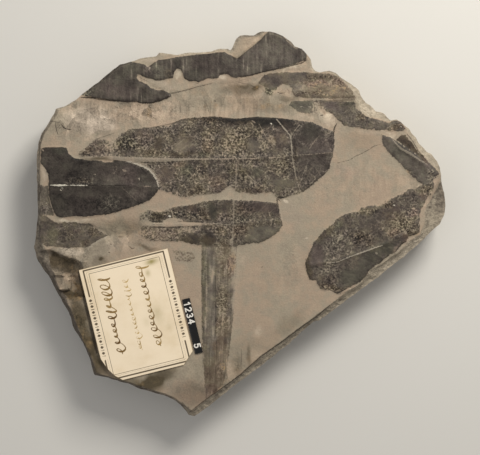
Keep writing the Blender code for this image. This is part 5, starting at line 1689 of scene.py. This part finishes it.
@dataclass(frozen=True)
class PaperFinish:
    """Rag label paper, letterpress ruled and written on in iron-gall ink: matt, cream, foxed by age."""

    paper: str = "#f6e3c5"
    paper_dark: str = "#dcc49d"
    edge: str = "#b89f76"
    print_ink: str = "#41331f"
    pen_ink: str = "#644820"
    pen_faint: str = "#c4a468"
    stain: str = "#8e8038"

    def material(self) -> bpy.types.Material:
        """Build the node tree.

        Returns:
            The material.
        """
        g = Graph("label_paper")
        read = {title: g.add(CARRIED, attribute_name=title) for title in PaperLabel.FIELDS}
        mm = g.millimetres()
        cloud = g.add("ShaderNodeTexNoise", {"Vector": mm, "Scale": 1.0 / 9.0, "Detail": 5.0})
        fibre = g.add("ShaderNodeTexNoise", {"Vector": mm, "Scale": 1.0 / 0.35, "Detail": 2.0})
        age = g.add(FUSE, [cloud, 1.1, read["age"]])
        age = g.add(FUSE, [fibre, 0.25, age])
        stained = g.add(TIMES, [g.add(TIMES, [read["stain"], cloud]), 1.2], use_clamp=True)
        rule = g.add(MINUS, [read["rule_half"], g.add(SIZE, [read["rule"]])])
        rule = g.add(SMOOTH, [rule, -0.05, 0.1, 0.0, 0.9])
        ink = g.add(MIX, [read["faint"], self.pen_ink, self.pen_faint])
        worn = g.add(FUSE, [fibre, 0.3, read["pen"]])
        colour = self.paper
        for part, tint in (
            (g.add(SMOOTH, [age, 0.6, 1.5]), self.paper_dark), (stained, self.stain),
            (rule, self.print_ink), (g.add(SMOOTH, [worn, 0.08, 0.26]), ink),
            (g.add(SMOOTH, [read["edge"], 0.35, 0.0, 0.0, 0.5]), self.edge),
        ):
            colour = g.add(MIX, [part, colour, tint])
        height = g.add(FUSE, [fibre, 0.02, g.add(TIMES, [cloud, 0.25])])
        return g.surface(
            {"Base Color": colour, "Roughness": 0.82, "IOR": 1.47, "Specular IOR Level": 0.25}, height, 0.6,
        )


@dataclass
class PaperLabel(Sheet):
    """The glued label: a thin sheet with ruled borders, a printer's ornament and pen loops."""

    length: float = 58.5
    height: float = 45.6
    thickness: float = 0.3
    lift: float = 0.3
    columns: int = 204
    rows: int = 160
    corner_lift: float = 0.26
    right_lift: float = 0.10
    wave: float = 0.05
    finish: PaperFinish = field(default_factory=PaperFinish)

    FIELDS = ("rule", "rule_half", "pen", "faint", "stain", "age", "edge")

    # From the upper right corner round to the lower left one: depth below the upper edge, and reach
    CLIPPED = [(0.0, 52.8), (6.0, 58.4), (37.4, 58.5), (40.6, 55.6), (43.4, 51.4), (45.6, 45.6)]

    def outline(self) -> list[Point]:
        """The clipped outline on the stone's face."""
        depth, reach = np.array([(0.0, 0.0), *self.CLIPPED, (self.height, 0.0)]).T
        return self.on_face(reach, -depth).tolist()

    def reach(self, v: Array) -> Array:
        """How far the sheet runs to the right at each depth v below its upper edge."""
        return np.interp(v, *np.array(self.CLIPPED).T)

    def pen_strokes(self) -> list[Array]:
        """Rows of pen-practice loops that spell nothing.

        Each is a point that circles while it runs to the right, so that it draws loops where the circle is
        wide and waves where it is narrow. Width, height and the ink's paleness are drawn anew for each
        turn, the downstroke is the heavier, and the row slants.

        Returns:
            For each row, its points as rows of u, v, half-width and paleness.
        """
        # start, end, level, size, half-width, paleness, height of the first loop, turns, seed
        rows = [
            (4.5, 46.0, 16.2, 3.3, 0.46, 0.35, 2.2, 13, 11),
            (9.5, 46.0, 25.0, 2.3, 0.28, 0.8, 1.5, 15, 12),
            (6.0, 45.0, 35.6, 3.3, 0.52, 0.15, 1.9, 12, 13),
        ]
        strokes = []
        for start, end, level, size, half, pale, first, turns, seed in rows:
            rng = np.random.default_rng(seed)
            t = np.linspace(0.0, turns, turns * 16)
            knots = np.arange(turns + 1)
            tall = rng.choice([0.5, 0.65, 0.8, 0.6, 1.5], turns + 1)
            tall[0] = first
            tall = np.interp(t, knots, tall)
            broad = np.interp(t, knots, rng.uniform(0.12, 0.62, turns + 1))
            gap = np.interp(t, knots, rng.uniform(-0.5, 0.5, turns + 1))
            sink = np.interp(t, knots, rng.uniform(-0.3, 0.3, turns + 1))
            tone = np.clip(np.interp(t, knots, pale + rng.uniform(-0.35, 0.35, turns + 1)), 0.0, 1.0)
            u = start + (end - start) * t / turns + broad * size * np.sin(2 * np.pi * t) + gap
            v = level + sink - size * tall * (np.cos(2 * np.pi * t) * 0.5 + 0.15)
            u = u - 0.4 * (v - level)
            weight = half * (0.45 + 0.55 * np.clip(np.sin(2 * np.pi * t + 0.4), 0.0, 1.0) ** 2)
            strokes.append(np.stack([u, v, weight, tone], 1))
        return strokes

    def rules(self, u: Array, v: Array) -> tuple[Array, Array]:
        """The border: a thick rule and a thin one inside it, broken on the long sides by an ornament.

        The rules are where the distance to a rectangle is small. The ornament is a row of lozenges, each
        where the sum of two distances is small, with an upright bar between each two.

        Args:
            u, v: places on the label, mm from its upper left corner.

        Returns:
            Signed distances and half-widths in mm.
        """
        best = np.full_like(u, -np.inf)
        side, half = np.zeros_like(u), np.full_like(u, -0.5)
        for left, right, top, bottom, width in ((0.9, 57.0, 2.5, 43.6, 0.4), (3.0, 55.0, 5.1, 41.2, 0.14)):
            centre_u, centre_v = (left + right) / 2, (top + bottom) / 2
            away_u = np.abs(u - centre_u) - (right - left) / 2
            away_v = np.abs(v - centre_v) - (bottom - top) / 2
            outside = (away_u > 0) & (away_v > 0)
            box = np.where(outside, np.hypot(away_u, away_v), np.maximum(away_u, away_v))
            score = width - np.abs(box)
            best, side, half = choose(score > best, (score, box, width), (best, side, half))
        low, high, pitch = 15.5, 45.5, 1.5
        for level in (2.5, 43.6):
            count = np.clip(np.floor((u - low) / pitch), 0, round((high - low) / pitch) - 1)
            aside, aloft = np.abs(u - low - pitch * (0.5 + count)), np.abs(v - level)
            lozenge = 0.8 - 0.9 * aside - 0.8 * aloft
            bar = np.minimum(0.22 - aside, 0.95 - aloft)
            in_gap = (u > low - 1.0) & (u < high + 1.0) & (aloft < 1.3)
            side, half = choose(in_gap, (0.0, np.where(count % 2 == 0, lozenge, bar)), (side, half))
        return np.clip(side, -2.0, 2.0), half

    def build(self) -> bpy.types.Object:
        """Compute the sheet and set it in the frame.

        It is a grid over the clipped outline, lifting towards the lower corners where the glue let go.

        Returns:
            The label's object.
        """
        s, t = self.grid()
        v = t * self.height
        u = s * self.reach(v)
        curl = self.corner_lift * ease(v, 30.0, 46.0) * ease(np.abs(u - 34.0), 6.0, 26.0)
        curl = curl + self.right_lift * ease(u, 50.0, 58.0)
        low = StoneSlab.face + self.lift + curl + self.wave * lattice_noise(u, v, 13.0, 80)
        edge = np.minimum(np.minimum(u, self.reach(v) - u), np.minimum(v, self.height - v))
        rule, rule_half = self.rules(u, v)
        depth, faint = stroke_depth(u, v, self.pen_strokes())
        stains = [
            (4.6, 9.5, 1.4, 3.0, 1.4), (9.5, 12.5, 1.6, 1.2, 0.8), (31.0, 13.0, 4.5, 3.0, 0.55),
            (38.0, 8.5, 2.0, 1.6, 0.35), (33.0, 19.0, 2.4, 1.6, 0.3),
        ]
        browned = [(40, 8, 10, 6, 0.3), (4, 42, 8, 5, 0.3), (52, 30, 6, 14, 0.12), (20, 42, 20, 3, 0.2)]
        skin = self.skin("label_sheet", self.on_face(u, -v), low, low + self.thickness, {
            "rule": rule, "rule_half": rule_half, "pen": depth, "faint": faint, "edge": edge,
            "stain": blots(u, v, stains), "age": blots(u, v, browned),
        })
        return skin.build(self.finish.material(), "root", "label_paper", "paper_label")


@dataclass(frozen=True)
class TagFinish:
    """Varnished black card with white painted numerals: glossy, lightly scuffed."""

    black: str = "#0d0b0a"
    scuff: str = "#2b2622"
    white: str = "#ece6da"

    def material(self) -> bpy.types.Material:
        """Build the node tree.

        Returns:
            The material.
        """
        g = Graph("varnished_black_card")
        read = {title: g.add(CARRIED, attribute_name=title) for title in NumberTag.FIELDS}
        wear = g.add("ShaderNodeTexNoise", {
            "Vector": g.millimetres(), "Scale": 1.0 / 0.9, "Detail": 4.0, "Roughness": 0.7,
        })
        worn = g.add(SMOOTH, [g.add(FUSE, [read["edge"], -0.5, wear]), 0.42, 0.62])
        painted = g.add(SMOOTH, [g.add(FUSE, [wear, 0.12, read["digit"]]), 0.03, 0.12])
        colour = g.add(MIX, [worn, self.black, self.scuff])
        colour = g.add(MIX, [painted, colour, self.white])
        rough = g.add(FUSE, [wear, 0.3, 0.12])
        height = g.add(TIMES, [painted, 0.04])
        return g.surface({"Base Color": colour, "Roughness": rough, "IOR": 1.5}, height, 0.8)


@dataclass
class NumberTag(Sheet):
    """The narrow tag beside the label: a slightly bowed strip with plain numerals."""

    length: float = 28.0
    height: float = 3.9
    thickness: float = 0.3
    lift: float = 0.3
    columns: int = 281
    rows: int = 40
    start: float = 26.6
    clearance: float = 0.9
    digit_height: float = 2.9
    stroke: float = 0.32
    bow: float = 0.10
    arch: float = 0.05
    rounding: float = 0.12
    finish: TagFinish = field(default_factory=TagFinish)

    FIELDS = ("digit", "edge")

    def numerals(self) -> list[list[tuple]]:
        """Plain numerals in the tag's own frame, from straight runs and arcs.

        Returns:
            Pen strokes, each as rows of u, v, half-width and tone.
        """

        def arc(cu: float, cv: float, ru: float, rv: float, first: float, last: float) -> list[Point]:
            """Points of an arc from its middle, its two radii, and its first and last bearings."""
            angles = np.radians(np.linspace(first, last, 13))
            return list(zip((cu + ru * np.cos(angles)).tolist(), (cv + rv * np.sin(angles)).tolist()))

        one = [(0.1, 0.78), (0.42, 1.0), (0.42, 0.0)]
        two = arc(0.4, 0.72, 0.36, 0.28, 160, -40) + [(0.05, 0.0), (0.78, 0.0)]
        three_top = arc(0.36, 0.75, 0.33, 0.25, 150, -90)
        three_low = arc(0.36, 0.26, 0.38, 0.26, 90, -150)
        four = [(0.62, 0.0), (0.62, 1.0), (0.0, 0.32), (0.84, 0.32)]
        five = [(0.72, 1.0), (0.14, 1.0), (0.1, 0.56)] + arc(0.36, 0.32, 0.38, 0.32, 110, -150)
        foot = (self.height - self.digit_height) / 2
        wide, tall = 0.8 * self.digit_height, self.digit_height
        shapes = ((1.9, one), (4.6, two), (7.7, three_top), (7.7, three_low), (10.7, four), (23.2, five))
        return [
            [(start + a * wide, foot + b * tall, self.stroke, 0.0) for a, b in shape]
            for start, shape in shapes
        ]

    def build(self) -> bpy.types.Object:
        """Compute the strip and set it in the frame.

        Returns:
            The tag's object.
        """
        s, t = self.grid()
        u, v = s * self.length, (1.0 - t) * self.height
        depth, _ = stroke_depth(u, v, self.numerals())
        bow = self.bow * (1.0 - (2.0 * t - 1.0) ** 2) + self.arch * np.sin(math.pi * s)
        edge = np.minimum(np.minimum(u, self.length - u), np.minimum(v, self.height - v))
        rounded = self.rounding * (1.0 - ease(edge, 0.0, 0.25))
        low = np.full_like(u, StoneSlab.face + self.lift)
        high = low + self.thickness + bow - rounded
        places = self.on_face(self.start + u, self.clearance + v)
        skin = self.skin("tag_strip", places, low, high, {"digit": depth, "edge": edge})
        return skin.build(self.finish.material(), "root", "tag_card", "number_tag")


# --- The studio ---


@dataclass(frozen=True)
class FloorFinish:
    """A plain pale studio floor: matt painted board."""

    colour: str = "#d8d4cc"

    def material(self) -> bpy.types.Material:
        """Build the node tree.

        Returns:
            The material.
        """
        return Graph("pale_floor").surface({"Base Color": self.colour, "Roughness": 0.9})


@dataclass
class Studio:
    """The floor, the soft lights and the camera straight above the face, in metres."""

    floor_half: float = 1.5
    view_width: float = 0.240
    view_middle: tuple[float, float] = (0.0, -0.00175)
    lens: float = 120.0
    sensor: float = 36.0
    face: float = 0.024
    sky: float = 0.38

    def floor(self) -> None:
        """Lay the floor at the height the plate rests on."""
        h = self.floor_half
        mesh = bpy.data.meshes.new("floor")
        mesh.from_pydata([(-h, -h, 0), (h, -h, 0), (h, h, 0), (-h, h, 0)], [], [(0, 1, 2, 3)])
        mesh.materials.append(FloorFinish().material())
        made = bpy.data.objects.new("floor", mesh)
        bpy.context.scene.collection.objects.link(made)

    def lamp(self, name: str, place: tuple[float, float, float], size: float, power: float, hue: str) -> None:
        """Hang a square soft light, facing the plate.

        Args:
            name: its name.
            place: where it hangs, m.
            size: its side, m.
            power: W.
            hue: its colour, "#rrggbb".
        """
        light = bpy.data.lights.new(name, "AREA")
        light.size = size
        light.energy = power
        light.color = linear(hue)[:3]
        made = bpy.data.objects.new(name, light)
        made.location = place
        x, y, z = place
        made.rotation_euler = (math.atan2(math.hypot(x, y), z), 0.0, math.atan2(y, x) + math.pi / 2)
        bpy.context.scene.collection.objects.link(made)

    def light(self) -> None:
        """A key from beyond the plate's top edge, a low fill, and a pale sky."""
        self.lamp("key", (0.28, 0.47, 0.49), 0.28, 4.7, "#fffdf8")
        self.lamp("fill", (-0.55, -0.25, 0.75), 0.6, 0.8, "#f8f9ff")
        world = bpy.data.worlds.new("sky")
        world.use_nodes = True
        background = world.node_tree.nodes["Background"]
        background.inputs["Color"].default_value = linear("#f3f3f3")
        background.inputs["Strength"].default_value = self.sky
        bpy.context.scene.world = world

    def camera(self) -> None:
        """Look straight down at the face, from so far that the view is as wide as asked."""
        data = bpy.data.cameras.new("camera")
        data.lens, data.sensor_width = self.lens, self.sensor
        data.clip_start = 0.01
        made = bpy.data.objects.new("camera", data)
        made.location = (*self.view_middle, self.face + self.view_width * self.lens / self.sensor)
        bpy.context.scene.collection.objects.link(made)
        bpy.context.scene.camera = made


def main() -> None:
    """Build the studio and the object's pieces in order."""
    logging.basicConfig(level=logging.INFO, format="%(name)s: %(message)s")
    bpy.context.scene.view_settings.view_transform = "Standard"
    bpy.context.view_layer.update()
    studio = Studio()
    studio.camera()
    studio.floor()
    studio.light()
    for piece in (StoneSlab(), PaperLabel(), NumberTag()):
        made = piece.build()
        LOG.info("%s is in place", made.name)


if __name__ == "__main__":
    main()
